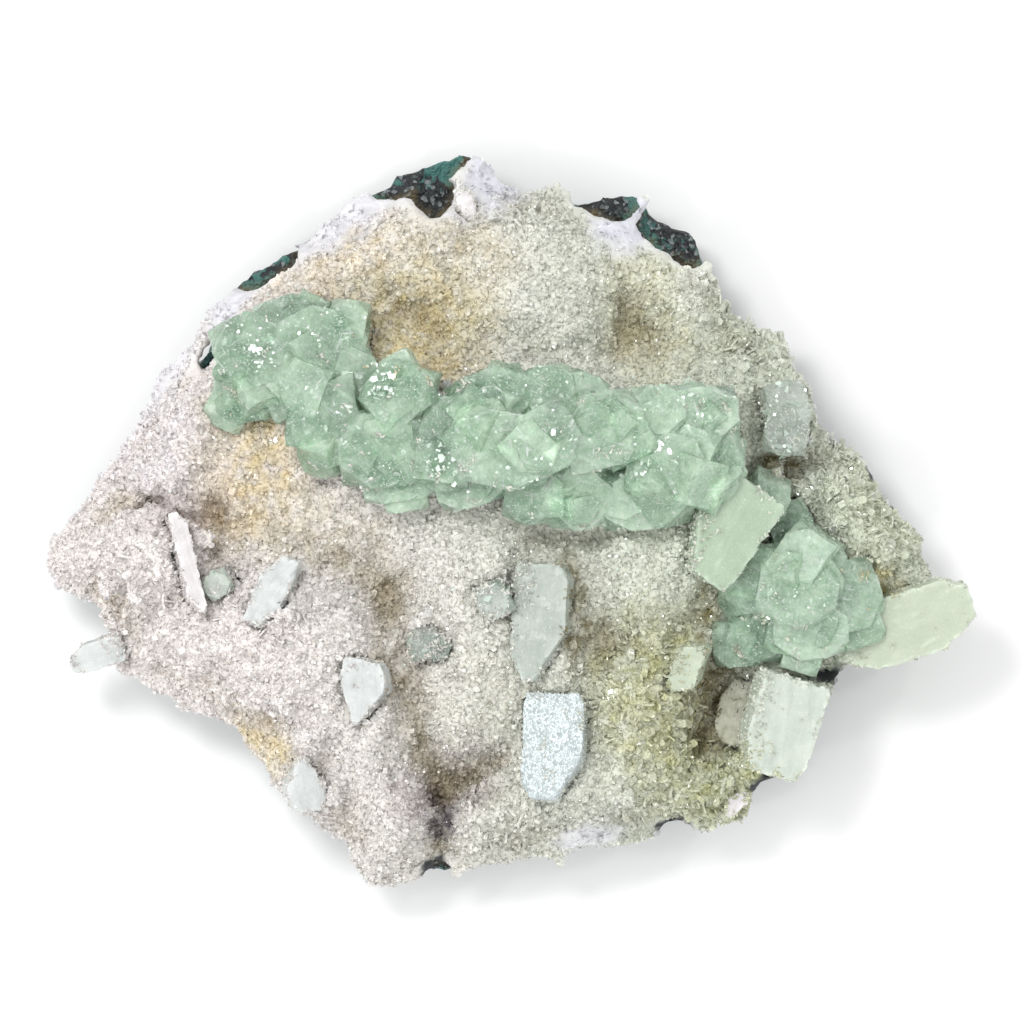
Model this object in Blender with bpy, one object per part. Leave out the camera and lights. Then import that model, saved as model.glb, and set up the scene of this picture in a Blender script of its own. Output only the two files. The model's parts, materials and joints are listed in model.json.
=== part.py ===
"""Apophyllite on heulandite: a cabinet specimen of crystals grown on a slab of basalt.

The slab lies on its flat broken underside with the crystal face up. +X is the right of
the crystal face, +Y its top edge, and the origin is the middle of the underside.
Every size below is in millimetres and is turned to metres as the meshes are made.
"""

import math
import random
from dataclasses import dataclass, replace

import bmesh
import bpy
from mathutils import Matrix, Vector, noise

MM = 0.001
SEED = 7

# Clearance between solids that touch, such as a crystal and the crust it grew in.
GAP = 0.3

# Heights above the underside.
BASALT_TOP = 14.0
RIM_TOP = 19.0
FACE_LEVEL = 28.0
SKY = 90.0
UNDERGROUND = -10.0

# Size of the sheets that the rock surfaces are cut from, and of their cells.
SHEET = (194.0, 156.0)
CRUST_CELL = 3.7
BASALT_CELL = 10.5

# How far in from the rim the crust reaches its full height.
RIM_SLOPE = 13.0
RIM_ROUNDING = 2.0
LEAST_CRUST = 1.8

# The least and the most of a crystal that stands clear of the crust, as shares of its
# height, and how steeply the crust climbs or falls beside it.
LEAST_CLEAR = 0.45
MOST_CLEAR = 0.65
CLIMB = 1.6

# How far the broken side of the basalt runs in, as (height, inset).
BASALT_SIDE = ((0.0, 9.0), (3.5, 4.0), (9.0, 1.2))
BASALT_UNDERCUT = 1.4

# Small heulandite crystals fused to the crust.
DRUSE_COUNT = 36
DRUSE_LENGTH = (4.5, 7.5)
DRUSE_RIM_CLEARANCE = 5.0

# Outline of the specimen from above, clockwise from its top peak.
RIM = (
    (-10.4, 74.8), (-6.4, 73.8), (-4, 71.4), (-2, 68), (1, 67.2), (7, 66.6), (12, 66),
    (18.4, 66.2), (24.4, 65.8), (27.6, 64.8), (28.4, 62.4), (32.4, 60), (36, 58.8),
    (38.4, 56), (38.6, 54), (40.6, 51.6), (41.2, 46), (44, 41), (47, 40.4), (51, 38),
    (55, 37.6), (55.4, 33), (58, 28), (60, 23), (61, 18), (66, 15), (71.6, 11.4),
    (75, 6), (79, 1), (83, -4), (83.6, -10), (83.2, -13.6), (78, -18), (72, -24),
    (68, -29), (63, -34.4), (62, -39), (58, -46), (55, -51), (51, -54.6), (48, -57.2),
    (47.6, -60), (42, -61.6), (36, -62.6), (28, -63.6), (18, -65.6), (8, -67),
    (-2, -69), (-14, -72), (-22, -73), (-27.6, -73.8), (-30, -72), (-33, -68),
    (-33.4, -65), (-38, -61), (-43, -58.4), (-45.8, -55), (-49.6, -50), (-53, -47.4),
    (-53.4, -44), (-56.4, -41.2), (-61, -39.6), (-66, -38), (-72, -34.6), (-76, -32),
    (-79, -30.4), (-80.6, -27), (-81, -24), (-82.4, -19.6), (-83.6, -17.2), (-90, -14),
    (-92.8, -10.4), (-93.6, -8.4), (-92, -4), (-87.6, 1), (-85.6, 4), (-82, 9.6),
    (-78, 15), (-75, 18), (-74, 22.4), (-71.4, 27), (-70.6, 29.6), (-67, 32.6),
    (-64, 35.4), (-62, 39), (-61.2, 42), (-57, 46), (-54, 50), (-48, 54), (-41, 57),
    (-36, 61), (-31, 65), (-27, 67.4), (-22, 71.4), (-16, 72.6),
)


@dataclass(frozen=True)
class Patch:
    """An ellipse on the face: a mound, a pit or a chip, rise millimetres high."""

    x: float
    y: float
    half_x: float
    half_y: float
    turn: float = 0.0
    rise: float = 0.0

    def reach(self, x, y):
        """0 at the middle of the ellipse, 1 on its edge and more beyond it."""
        turn = math.radians(self.turn)
        dx, dy = x - self.x, y - self.y
        along = dx * math.cos(turn) + dy * math.sin(turn)
        across = dy * math.cos(turn) - dx * math.sin(turn)
        return math.hypot(along / self.half_x, across / self.half_y)


@dataclass(frozen=True)
class Crystal:
    """One crystal: its place, the height of its top, its three sizes and how it stands.

    turn spins it about its own upright axis, and it then leans that many degrees
    towards a direction, where 0 is +X and 90 is +Y. ends says how much of each half of
    its width is left flat where a blade ends: lower left, lower right, upper left and
    upper right. spare is how much larger than the crystal its socket is.
    """

    x: float
    y: float
    top: float
    wide: float
    deep: float
    tall: float
    turn: float = 0.0
    lean: float = 0.0
    towards: float = 0.0
    ends: tuple = (0.45, 0.45, 0.45, 0.45)
    spare: float = 0.0

    def stance(self):
        """The matrix that puts the crystal in its place, in millimetres."""
        swing = Matrix.Rotation(math.radians(self.towards), 4, "Z")
        tilt = swing @ Matrix.Rotation(math.radians(self.lean), 4, "Y") @ swing.inverted()
        centre = Vector((self.x, self.y, self.top)) - tilt @ Vector((0, 0, self.tall / 2))
        spin = Matrix.Rotation(math.radians(self.turn), 4, "Z")
        return Matrix.Translation(centre) @ tilt @ spin

    def crust_range(self, x, y):
        """The lowest and highest that the crust may be at (x, y) to hold and show it."""
        turn = math.radians(self.turn)
        dx, dy = x - self.x, y - self.y
        beside = abs(dx * math.cos(turn) + dy * math.sin(turn)) - self.wide / 2
        beyond = abs(dy * math.cos(turn) - dx * math.sin(turn)) - self.deep / 2
        away = math.hypot(max(beside, 0.0), max(beyond, 0.0))
        towards = math.radians(self.towards)
        downhill = dx * math.cos(towards) + dy * math.sin(towards)
        face = self.top - downhill * math.tan(math.radians(self.lean))
        lowest = face - MOST_CLEAR * self.tall - CLIMB * away
        highest = face - LEAST_CLEAR * self.tall + CLIMB * away
        return lowest, highest

    def grown(self, by):
        """The same crystal with this much more on every side, for its socket."""
        return replace(
            self,
            top=self.top + by,
            wide=self.wide + 2 * by,
            deep=self.deep + 2 * by,
            tall=self.tall + 2 * by,
            spare=self.spare + by,
        )


# Rounded mounds of crust on the face.
MOUNDS = (
    Patch(1, 49, 22, 17, -10, 9), Patch(-22, 54, 22, 10, 20, 3), Patch(36, 46, 11, 11, 0, 7),
    Patch(13, 38, 9, 7, 0, 8), Patch(52, 31, 7, 9, 0, 7), Patch(70, 2, 14, 13, -40, 11),
    Patch(77, -6, 8, 8, 0, 8), Patch(65, 8, 7, 6, 0, 9), Patch(-5, -14, 17, 19, 15, 14),
    Patch(-12, -5, 15, 8, 0, 10), Patch(26, -11, 14, 14, 0, 11), Patch(36, -5, 8, 8, 0, 9),
    Patch(26, -40, 12, 16, 10, 12), Patch(18, -54, 13, 8, 0, 8), Patch(36, -56, 9, 5, 10, 6),
    Patch(-9, -36, 14, 12, 0, 11), Patch(-6, -61, 10, 7, 0, 7), Patch(-25, -62, 11, 9, 0, 8),
    Patch(-42, -24, 20, 17, -20, 12), Patch(-33, -44, 13, 12, 30, 9), Patch(-54, -36, 9, 6, 0, 5),
    Patch(-69, 16, 10, 13, -35, 9), Patch(-72, -7, 13, 10, 0, 9), Patch(-85, -8, 7, 6, 0, 5),
    Patch(-62, -24, 12, 8, 0, 6), Patch(-52, 8, 9, 12, 0, 4), Patch(-34, 0, 14, 6, -20, 5),
    Patch(-38, 20, 12, 10, 0, 8), Patch(-20, 16, 15, 9, 0, 10), Patch(0, 16, 15, 10, 0, 11),
    Patch(20, 14, 15, 10, 0, 11), Patch(36, 14, 11, 10, 0, 9), Patch(57, -14, 14, 12, 0, 6),
    Patch(53, -43, 8, 12, -15, 7), Patch(44, 38, 6, 6, 0, 5), Patch(-48, 34, 12, 10, 0, 4),
)

# Hollows in the face, with a negative rise.
PITS = (
    Patch(23, 38, 8, 8, 0, -5), Patch(53, 10, 6, 3.6, 10, -13), Patch(58.5, -1, 3, 6, 0, -8),
    Patch(41, -35, 5.5, 13, -8, -14), Patch(-23.4, -31, 3.2, 4, 0, -7),
    Patch(-21, 44, 10, 8, 0, -3), Patch(-22, 37, 7, 6, 0, -4), Patch(64.4, -30.6, 3, 2, 20, -5),
)

# Crevices between the mounds, as (points, width, depth).
CREVICES = (
    (((7, -2), (13, -14), (14, -28)), 4.0, 9.0),
    (((-27, -16), (-22, -24), (-23, -31), (-19, -42), (-14, -54)), 3.2, 8.0),
    (((2, -48), (-10, -53), (-14.6, -58), (-14.6, -68)), 2.4, 7.0),
    (((-76, 4), (-60, 1), (-62, -8)), 2.8, 6.0),
    (((46, 38), (47, 24), (48, 14)), 3.2, 5.0),
    (((38, -16), (40, -26), (42, -32)), 3.2, 7.0),
)

# Chips out of the crust along the rim, where the basalt shows.
CHIPS = (
    Patch(-18, 69.6, 12, 3.6, 25), Patch(-16, 65.4, 4.6, 5.2, 0), Patch(18.6, 63.8, 7, 3.6, -15),
    Patch(32.4, 57, 8.8, 4.2, -35), Patch(-49.6, 50.8, 8.6, 3.2, 35), Patch(-60.6, 33.4, 5, 1.8, 55),
    Patch(-80.6, 12.2, 2.4, 1.2, 55), Patch(76, 6, 6.5, 1.5, -55), Patch(-14.8, -71, 2.8, 2.4, 0),
    Patch(33.4, -62, 3.6, 2.0, 10), Patch(51.6, -54, 3.8, 2.4, 40),
)

# Bladed and tabular crystals, each standing on its own in the crust.
BLADES = {
    "stilbite_blade_centre": Crystal(
        5.2, -20.4, 41, 11, 23.6, 6, -3, 14, 180, (0.5, -0.1, 0.8, 0.7)
    ),
    "stilbite_plate_white": Crystal(8, -44.8, 39.5, 12, 21, 7, -2, 11, 130, (0.7, 0.2, 0.95, 0.8)),
    "stilbite_tablet_pale": Crystal(43, -2.2, 43, 14, 21, 8, -35, 10, 330, (0.2, 0.85, 0.6, 0.9)),
    "stilbite_blade_right_tip": Crystal(
        78.4, -21.4, 31, 13.5, 29, 8, -73, 6, 300, (0.5, 0.4, 0.6, 0.35)
    ),
    "stilbite_fan_lower_right": Crystal(
        54.4, -41.4, 34.5, 14, 20, 7.6, -17, 13, 330, (0.55, 0.75, 0.95, 0.9)
    ),
    "stilbite_tablet_hollow": Crystal(45, -38.6, 25.6, 8, 13, 8, -14, 12, 150),
    "stilbite_blade_left": Crystal(
        -64.6, -8.4, 36, 3.4, 21, 8, 14, 8, 0, (-0.2, 0.6, 0.8, 0.1)
    ),
    "stilbite_blade_mound": Crystal(
        -48, -14, 39.5, 6.5, 15, 6, -22, 10, 160, (0.9, 0.1, 0.1, 0.9)
    ),
    "stilbite_tablet_mound": Crystal(
        -30.4, -34.4, 38, 9.5, 13, 7, -12, 14, 180, (0.0, 0.1, 0.9, 0.6)
    ),
    "stilbite_tablet_lower_left": Crystal(
        -41.2, -53, 30, 7.6, 11, 9, 5, 10, 330, (0.6, 0.7, 0.2, 0.1)
    ),
    "stilbite_blade_far_left": Crystal(
        -83.4, -27.2, 23.5, 5.6, 11, 5.5, -72, 4, 250, (0.3, 0.6, 0.9, 0.9)
    ),
    "stilbite_blade_foot": Crystal(
        45.2, -57, 24.5, 3.8, 5.8, 4, -20, 8, 300, (0.7, 0.0, 0.2, 0.7)
    ),
    "stilbite_blade_hollow_rim": Crystal(
        34.4, -29.6, 37, 10, 8.5, 6, 10, 14, 200, (0.7, 0.2, 0.1, 0.8)
    ),
    "stilbite_blade_top": Crystal(
        -9, 63.2, 27, 3.8, 6.6, 4, 33, 14, 100, (0.6, 0.1, 0.3, 0.7)
    ),
}

# Apophyllite: square crystals with cut corners, alone or grown together in a cluster.
APOPHYLLITE = {
    "apophyllite_belt": (
        Crystal(-37, 19, 43, 14, 17, 16, 15, 12, 200),
        Crystal(-22.6, 25.6, 48, 12, 12, 18, 40, 11, 130),
        Crystal(-25, 14, 46, 19, 15, 16, 5, 10, 260),
        Crystal(-13, 16, 48.5, 11, 17, 17, -10, 8, 120),
        Crystal(-4, 24, 48, 16, 12, 16, 20, 10, 80),
        Crystal(-2, 14, 51, 20, 15, 18, -12, 6, 270),
        Crystal(7, 16, 52.5, 13, 13, 18, 30, 5, 0),
        Crystal(7, 26, 47, 11, 10, 15, 10, 12, 90),
        Crystal(14.5, 26, 45, 9, 7, 13, -25, 14, 60),
        Crystal(18.5, 18, 50, 16, 15, 17, 12, 8, 40),
        Crystal(29, 22, 47, 11, 10, 15, 0, 10, 100),
        Crystal(37, 21, 46, 16, 11, 15, 8, 8, 70),
        Crystal(31, 11, 49, 14, 12, 16, 25, 12, 130),
        Crystal(13.6, 4.4, 45, 13, 13, 15, 3, 12, 280),
        Crystal(3.4, 4, 45, 10, 10, 14, -8, 14, 260),
        Crystal(27, 4, 44, 18, 12, 14, 6, 10, 280),
        Crystal(40, 11, 46, 12, 14, 15, -15, 10, 20),
        Crystal(-8.4, 7, 45, 14, 9, 14, 15, 14, 250),
        Crystal(-22, 7.6, 43, 16, 8, 13, 10, 14, 260),
        Crystal(-52, 34, 37, 15, 15, 11, 20, 10, 130),
        Crystal(-38, 35.5, 38, 18, 14, 12, -10, 8, 80),
        Crystal(-53, 24.5, 35, 13, 10, 10, 10, 10, 220),
        Crystal(-46, 42, 33.5, 11, 5, 9, 15, 10, 90),
        Crystal(-42, 28, 38.5, 14, 11, 12, -5, 8, 160),
        Crystal(-31, 29.5, 39, 9, 10, 12, 25, 8, 60),
    ),
    "apophyllite_cluster_right": (
        Crystal(51.4, 4.6, 33.5, 7.5, 10, 11, -15, 10, 60),
        Crystal(56, -1.4, 33, 9, 10, 11, 20, 8, 30),
        Crystal(48, -12, 37, 12, 13, 13, 10, 8, 200),
        Crystal(57, -14, 38.5, 16, 15, 13, -8, 5, 300),
        Crystal(68, -15, 35, 12, 14, 11, 15, 12, 0),
        Crystal(59.6, -22, 36, 15, 12, 11, 5, 10, 280),
        Crystal(48.6, -23.6, 33, 11, 9, 10, -12, 10, 240),
        Crystal(61, -8, 36, 11, 8, 10, 25, 8, 80),
    ),
    "apophyllite_clear_right": (
        Crystal(55, 24, 37, 8, 8, 10, 12, 14, 60),
        Crystal(54.6, 17.6, 38, 8.4, 9.6, 12, -8, 10, 250),
    ),
    "apophyllite_small_centre": (
        Crystal(-18, -24.4, 37.5, 6, 6, 8, 15, 10, 150),
        Crystal(-14.8, -25.4, 37, 5, 5, 8, -20, 12, 330),
    ),
    "apophyllite_mound_centre": (Crystal(-3.8, -16, 42.5, 6.5, 7, 7, 25, 10, 200),),
    "apophyllite_point_left": (Crystal(-59, -13, 34, 5.6, 5, 8, 30, 12, 200),),
}

EVERY_CRYSTAL = tuple(BLADES.values()) + sum(APOPHYLLITE.values(), ())

# Colour, roughness and alpha of each material.
FINISHES = {
    "basalt": ((0.09, 0.11, 0.11), 0.85, 1.0),
    "heulandite": ((0.80, 0.77, 0.71), 0.45, 1.0),
    "stilbite": ((0.86, 0.90, 0.85), 0.35, 1.0),
    "apophyllite": ((0.52, 0.76, 0.62), 0.15, 0.8),
    "clear_apophyllite": ((0.84, 0.89, 0.84), 0.1, 0.7),
}


def clear_scene():
    """Empties the scene of the objects that it opened with."""
    for obj in list(bpy.data.objects):
        bpy.data.objects.remove(obj)


def add_collection(name):
    """A new collection in the scene."""
    collection = bpy.data.collections.new(name)
    bpy.context.scene.collection.children.link(collection)
    return collection


def add_object(name, bm, collection):
    """An object made of a bmesh in millimetres. The bmesh is used up."""
    bmesh.ops.scale(bm, vec=(MM, MM, MM), verts=bm.verts)
    mesh = bpy.data.meshes.new(name)
    bm.to_mesh(mesh)
    bm.free()
    obj = bpy.data.objects.new(name, mesh)
    collection.objects.link(obj)
    return obj


def as_helper(obj):
    """Marks an object that only shapes others."""
    obj.hide_render = True
    obj.display_type = "WIRE"
    return obj


def settle(obj):
    """Replaces an object's mesh by what its modifiers make of it, closed at its seams."""
    bpy.context.view_layer.update()
    graph = bpy.context.evaluated_depsgraph_get()
    mesh = bpy.data.meshes.new_from_object(obj.evaluated_get(graph))
    bm = bmesh.new()
    bm.from_mesh(mesh)
    bmesh.ops.remove_doubles(bm, verts=bm.verts, dist=0.001 * MM)
    bm.to_mesh(mesh)
    bm.free()
    obj.modifiers.clear()
    obj.data = mesh
    return obj


def combine(obj, other, operation):
    """Unites, cuts or intersects an object with another, or with a whole collection."""
    modifier = obj.modifiers.new(operation.title(), "BOOLEAN")
    modifier.operation = operation
    modifier.solver = "EXACT"
    if isinstance(other, bpy.types.Collection):
        modifier.operand_type = "COLLECTION"
        modifier.collection = other
    else:
        modifier.object = other
    return settle(obj)


def keep_largest_body(obj):
    """Drops loose slivers that a cut has left beside an object."""
    bm = bmesh.new()
    bm.from_mesh(obj.data)
    unseen = set(bm.verts)
    bodies = []
    while unseen:
        edge_of_search = [unseen.pop()]
        body = []
        while edge_of_search:
            vert = edge_of_search.pop()
            body.append(vert)
            near = {edge.other_vert(vert) for edge in vert.link_edges} & unseen
            unseen -= near
            edge_of_search.extend(near)
        bodies.append(body)
    bodies.sort(key=len)
    for body in bodies[:-1]:
        bmesh.ops.delete(bm, geom=body, context="VERTS")
    bm.to_mesh(obj.data)
    bm.free()


def material(name):
    """A material with the finish of that name."""
    colour, roughness, alpha = FINISHES[name]
    made = bpy.data.materials.new(name)
    made.use_nodes = True
    shader = made.node_tree.nodes["Principled BSDF"]
    shader.inputs["Base Color"].default_value = (*colour, 1.0)
    shader.inputs["Roughness"].default_value = roughness
    shader.inputs["Metallic"].default_value = 0.0
    shader.inputs["Alpha"].default_value = alpha
    return made


def smooth(share):
    """An S-shaped ramp from 0 to 1."""
    share = min(max(share, 0.0), 1.0)
    return share * share * (3 - 2 * share)


def line_distance(x, y, points, closed=False):
    """How far (x, y) is from a line through these points."""
    ends = points[1:] + points[:1] if closed else points[1:]
    nearest = math.inf
    for (ax, ay), (bx, by) in zip(points, ends):
        dx, dy = bx - ax, by - ay
        share = ((x - ax) * dx + (y - ay) * dy) / (dx * dx + dy * dy)
        share = min(max(share, 0.0), 1.0)
        nearest = min(nearest, math.hypot(x - ax - share * dx, y - ay - share * dy))
    return nearest


def inside_rim(x, y):
    """Whether (x, y) is within the outline, by counting the edges to its right."""
    crossings = 0
    for (ax, ay), (bx, by) in zip(RIM, RIM[1:] + RIM[:1]):
        if (ay > y) != (by > y) and x < ax + (y - ay) / (by - ay) * (bx - ax):
            crossings += 1
    return crossings % 2 == 1


def rim_depth(x, y):
    """How far (x, y) lies in from the outline, or 0 outside it."""
    return line_distance(x, y, RIM, closed=True) if inside_rim(x, y) else 0.0


def ripple(x, y, length, seed):
    """Smooth seeded waves between about -1 and 1, of this length in millimetres."""
    return noise.noise(Vector((x / length, y / length, seed)))


def basalt_height(x, y):
    """Height of the broken surface between the basalt and the crust."""
    return BASALT_TOP + 3.2 * ripple(x, y, 26, SEED) + 1.2 * ripple(x, y, 9, SEED + 1)


def crust_bottom(x, y):
    """Height of the underside of the crust, just clear of the basalt."""
    return basalt_height(x, y) + GAP


def crust_height(x, y):
    """Height of the crystal face: the rim's slope, mounds, crevices, pits and waves."""
    depth = rim_depth(x, y)
    height = RIM_TOP + (FACE_LEVEL - RIM_TOP) * smooth(depth / RIM_SLOPE)
    inward = smooth(depth / (0.6 * RIM_SLOPE))
    rises = [m.rise * max(0.0, 1 - m.reach(x, y) ** 2) ** 0.8 for m in MOUNDS]
    height += inward * sum(rise**4 for rise in rises) ** 0.25
    for points, width, drop in CREVICES:
        height -= inward * drop * math.exp(-((line_distance(x, y, points) / width) ** 2))
    for pit in PITS:
        height += pit.rise * smooth(1.6 - pit.reach(x, y))
    height += 1.4 * ripple(x, y, 14, SEED + 2) + 0.9 * ripple(x, y, 5, SEED + 3)
    height -= 3.0 * (1 - smooth(depth / RIM_ROUNDING))
    ranges = [crystal.crust_range(x, y) for crystal in EVERY_CRYSTAL]
    height = max(height, *(lowest for lowest, _ in ranges))
    height = min(height, *(highest for _, highest in ranges))
    return max(height, basalt_height(x, y) + LEAST_CRUST)


def height_block(name, cell, height, far_side, jitter=0.0):
    """A block between height(x, y), as a sheet of cells, and the plane z = far_side."""
    rng = random.Random(SEED)
    bm = bmesh.new()
    columns, rows = (round(side / cell) for side in SHEET)
    spread = Matrix.Diagonal((*SHEET, 1.0, 1.0))
    bmesh.ops.create_grid(bm, x_segments=columns, y_segments=rows, size=0.5, matrix=spread)
    for vert in bm.verts:
        if not vert.is_boundary:
            vert.co.x += rng.uniform(-jitter, jitter)
            vert.co.y += rng.uniform(-jitter, jitter)
        vert.co.z = height(vert.co.x, vert.co.y) + rng.uniform(-jitter, jitter)
    # Split the same way in every sheet, so that the basalt and the crust never cross.
    bmesh.ops.triangulate(bm, faces=bm.faces[:], quad_method="FIXED")
    pulled = bmesh.ops.extrude_face_region(bm, geom=bm.faces[:])
    for item in pulled["geom"]:
        if isinstance(item, bmesh.types.BMVert):
            item.co.z = far_side
    bmesh.ops.recalc_face_normals(bm, faces=bm.faces)
    return add_object(name, bm, HELPERS)


def prism(name, outline, low, high):
    """A solid of this outline from height low to high: a filled curve, extruded."""
    curve = bpy.data.curves.new(name + "_outline", "CURVE")
    curve.dimensions = "2D"
    curve.fill_mode = "BOTH"
    curve.extrude = (high - low) / 2 * MM
    spline = curve.splines.new("POLY")
    spline.points.add(len(outline) - 1)
    for point, (x, y) in zip(spline.points, outline):
        point.co = (x * MM, y * MM, 0.0, 1.0)
    spline.use_cyclic_u = True
    drawn = bpy.data.objects.new(name + "_outline", curve)
    HELPERS.objects.link(drawn)
    bpy.context.view_layer.update()
    graph = bpy.context.evaluated_depsgraph_get()
    bm = bmesh.new()
    bm.from_mesh(bpy.data.meshes.new_from_object(drawn.evaluated_get(graph)))
    bpy.data.objects.remove(drawn)
    bmesh.ops.remove_doubles(bm, verts=bm.verts, dist=0.001 * MM)
    bmesh.ops.scale(bm, vec=(1 / MM, 1 / MM, 1 / MM), verts=bm.verts)
    bmesh.ops.translate(bm, vec=(0, 0, (low + high) / 2), verts=bm.verts)
    bmesh.ops.recalc_face_normals(bm, faces=bm.faces)
    return add_object(name, bm, HELPERS)


def broken(outline, rng, step=3.2, jag=0.7):
    """The outline with more points along it, each thrown a little off the line."""
    points = []
    for (ax, ay), (bx, by) in zip(outline, outline[1:] + outline[:1]):
        count = max(1, round(math.hypot(bx - ax, by - ay) / step))
        for i in range(count):
            share = i / count
            off_x, off_y = rng.uniform(-jag, jag), rng.uniform(-jag, jag)
            points.append((ax + share * (bx - ax) + off_x, ay + share * (by - ay) + off_y))
    return points


def drawn_in(x, y, by):
    """The point (x, y) moved this far towards the middle of the slab."""
    share = 1 - by / math.hypot(x, y)
    return x * share, y * share


def basalt_outline():
    """The rim, drawn in a little under the crust and full size where the crust is chipped."""
    outline = []
    for x, y in RIM:
        bare = min(chip.reach(x, y) for chip in CHIPS) < 1.5
        outline.append((x, y) if bare else drawn_in(x, y, BASALT_UNDERCUT))
    return outline


def build_basalt():
    """The basalt matrix: a slab with a flat foot, broken sides and a wavy top."""
    slab = prism("basalt_matrix", basalt_outline(), 0.0, SKY)
    bm = bmesh.new()
    bm.from_mesh(slab.data)
    for height, _ in BASALT_SIDE[1:]:
        everything = bm.verts[:] + bm.edges[:] + bm.faces[:]
        level = Vector((0, 0, height * MM))
        bmesh.ops.bisect_plane(bm, geom=everything, plane_co=level, plane_no=(0, 0, 1))
    for vert in bm.verts:
        x, y, z = vert.co / MM
        inset = next((inset for height, inset in BASALT_SIDE if abs(z - height) < 0.1), 0.0)
        inset *= 1 + 1.1 * ripple(x, y, 9, SEED + 4 + z)
        x, y = drawn_in(x, y, inset)
        vert.co.xy = (x * MM, y * MM)
    bm.to_mesh(slab.data)
    bm.free()
    below = height_block("below_the_crust", BASALT_CELL, basalt_height, UNDERGROUND)
    combine(slab, below, "INTERSECT")
    bpy.data.objects.remove(below)
    return slab


def rough_chip(name, chip, rng):
    """The cutter for one chip: an upright cylinder with a ragged oval section."""
    bm = bmesh.new()
    bmesh.ops.create_cone(bm, cap_ends=True, segments=12, radius1=1.0, radius2=1.0, depth=SKY)
    for angle in range(12):
        ragged = rng.uniform(0.85, 1.15)
        for vert in bm.verts:
            if round(math.degrees(math.atan2(vert.co.y, vert.co.x)) / 30) % 12 == angle:
                vert.co.xy = vert.co.xy * ragged
    bmesh.ops.scale(bm, vec=(chip.half_x, chip.half_y, 1), verts=bm.verts)
    bmesh.ops.rotate(bm, matrix=Matrix.Rotation(math.radians(chip.turn), 3, "Z"), verts=bm.verts)
    bmesh.ops.translate(bm, vec=(chip.x, chip.y, SKY / 2), verts=bm.verts)
    return add_object(name, bm, HELPERS)


def cut_block(sizes, planes):
    """A block of these sizes with each plane, as (direction, distance), cut off it."""
    bm = bmesh.new()
    bmesh.ops.create_cube(bm, size=1.0, matrix=Matrix.Diagonal((*sizes, 1.0)))
    for direction, distance in planes:
        normal = Vector(direction).normalized()
        cut = bmesh.ops.bisect_plane(
            bm,
            geom=bm.verts[:] + bm.edges[:] + bm.faces[:],
            plane_co=normal * distance,
            plane_no=normal,
            clear_outer=True,
        )
        edges = [item for item in cut["geom_cut"] if isinstance(item, bmesh.types.BMEdge)]
        if edges:
            bmesh.ops.edgeloop_fill(bm, edges=edges)
    bmesh.ops.recalc_face_normals(bm, faces=bm.faces)
    return bm


def blade(name, crystal, collection):
    """A tabular crystal with a pointed, coffin-shaped end at each end of its length."""
    slope = math.radians(60)
    half_wide, half_deep = crystal.wide / 2 - crystal.spare, crystal.deep / 2 - crystal.spare
    sides = ((-1, -1), (1, -1), (-1, 1), (1, 1))
    planes = []
    for (side, end), flat in zip(sides, crystal.ends):
        direction = Vector((math.sin(slope) * side, math.cos(slope) * end, 0))
        distance = flat * half_wide * math.sin(slope) + half_deep * math.cos(slope)
        planes.append((direction, distance + crystal.spare))
    bm = cut_block((crystal.wide, crystal.deep, crystal.tall), planes)
    bmesh.ops.transform(bm, matrix=crystal.stance(), verts=bm.verts)
    return add_object(name, bm, collection)


def square_crystal(name, crystal, collection):
    """An apophyllite crystal: a square block with its four upper corners cut away."""
    half = Vector((crystal.wide, crystal.deep, crystal.tall)) / 2
    planes = []
    for side_x in (-1, 1):
        for side_y in (-1, 1):
            direction = Vector((side_x / half.x, side_y / half.y, 1.1 / half.x)).normalized()
            corner = Vector((half.x * side_x, half.y * side_y, half.z))
            distance = corner.dot(direction) - 0.42 * min(half.x, half.y)
            planes.append((direction, distance))
    bm = cut_block(2 * half, planes)
    bmesh.ops.transform(bm, matrix=crystal.stance(), verts=bm.verts)
    return add_object(name, bm, collection)


def grow_cluster(name, crystals, extra, collection):
    """Square crystals grown into one solid, with extra material on every side."""
    loose = bpy.data.collections.new(name + "_crystals")
    first, *others = [
        square_crystal(f"{name}_{i}", crystal.grown(extra), HELPERS if i == 0 else loose)
        for i, crystal in enumerate(crystals)
    ]
    if others:
        bpy.context.scene.collection.children.link(loose)
        combine(first, loose, "UNION")
        for obj in others:
            bpy.data.objects.remove(obj)
    bpy.data.collections.remove(loose)
    HELPERS.objects.unlink(first)
    collection.objects.link(first)
    first.name = name
    return first


def grow_druse(collection):
    """Small heulandite crystals standing out of the crust at seeded places."""
    rng = random.Random(SEED)
    grown = 0
    while grown < DRUSE_COUNT:
        x = rng.uniform(-0.5, 0.5) * SHEET[0]
        y = rng.uniform(-0.5, 0.5) * SHEET[1]
        if rim_depth(x, y) < DRUSE_RIM_CLEARANCE:
            continue
        length = rng.uniform(*DRUSE_LENGTH)
        towards = rng.uniform(0, 360)
        small = Crystal(
            x,
            y,
            crust_height(x, y) + 0.15 * length,
            wide=0.55 * length,
            deep=1.4 * length,
            tall=0.3 * length,
            turn=towards - 90,
            lean=rng.uniform(35, 75),
            towards=towards,
        )
        blade(f"druse_{grown}", small, collection)
        grown += 1


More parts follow.
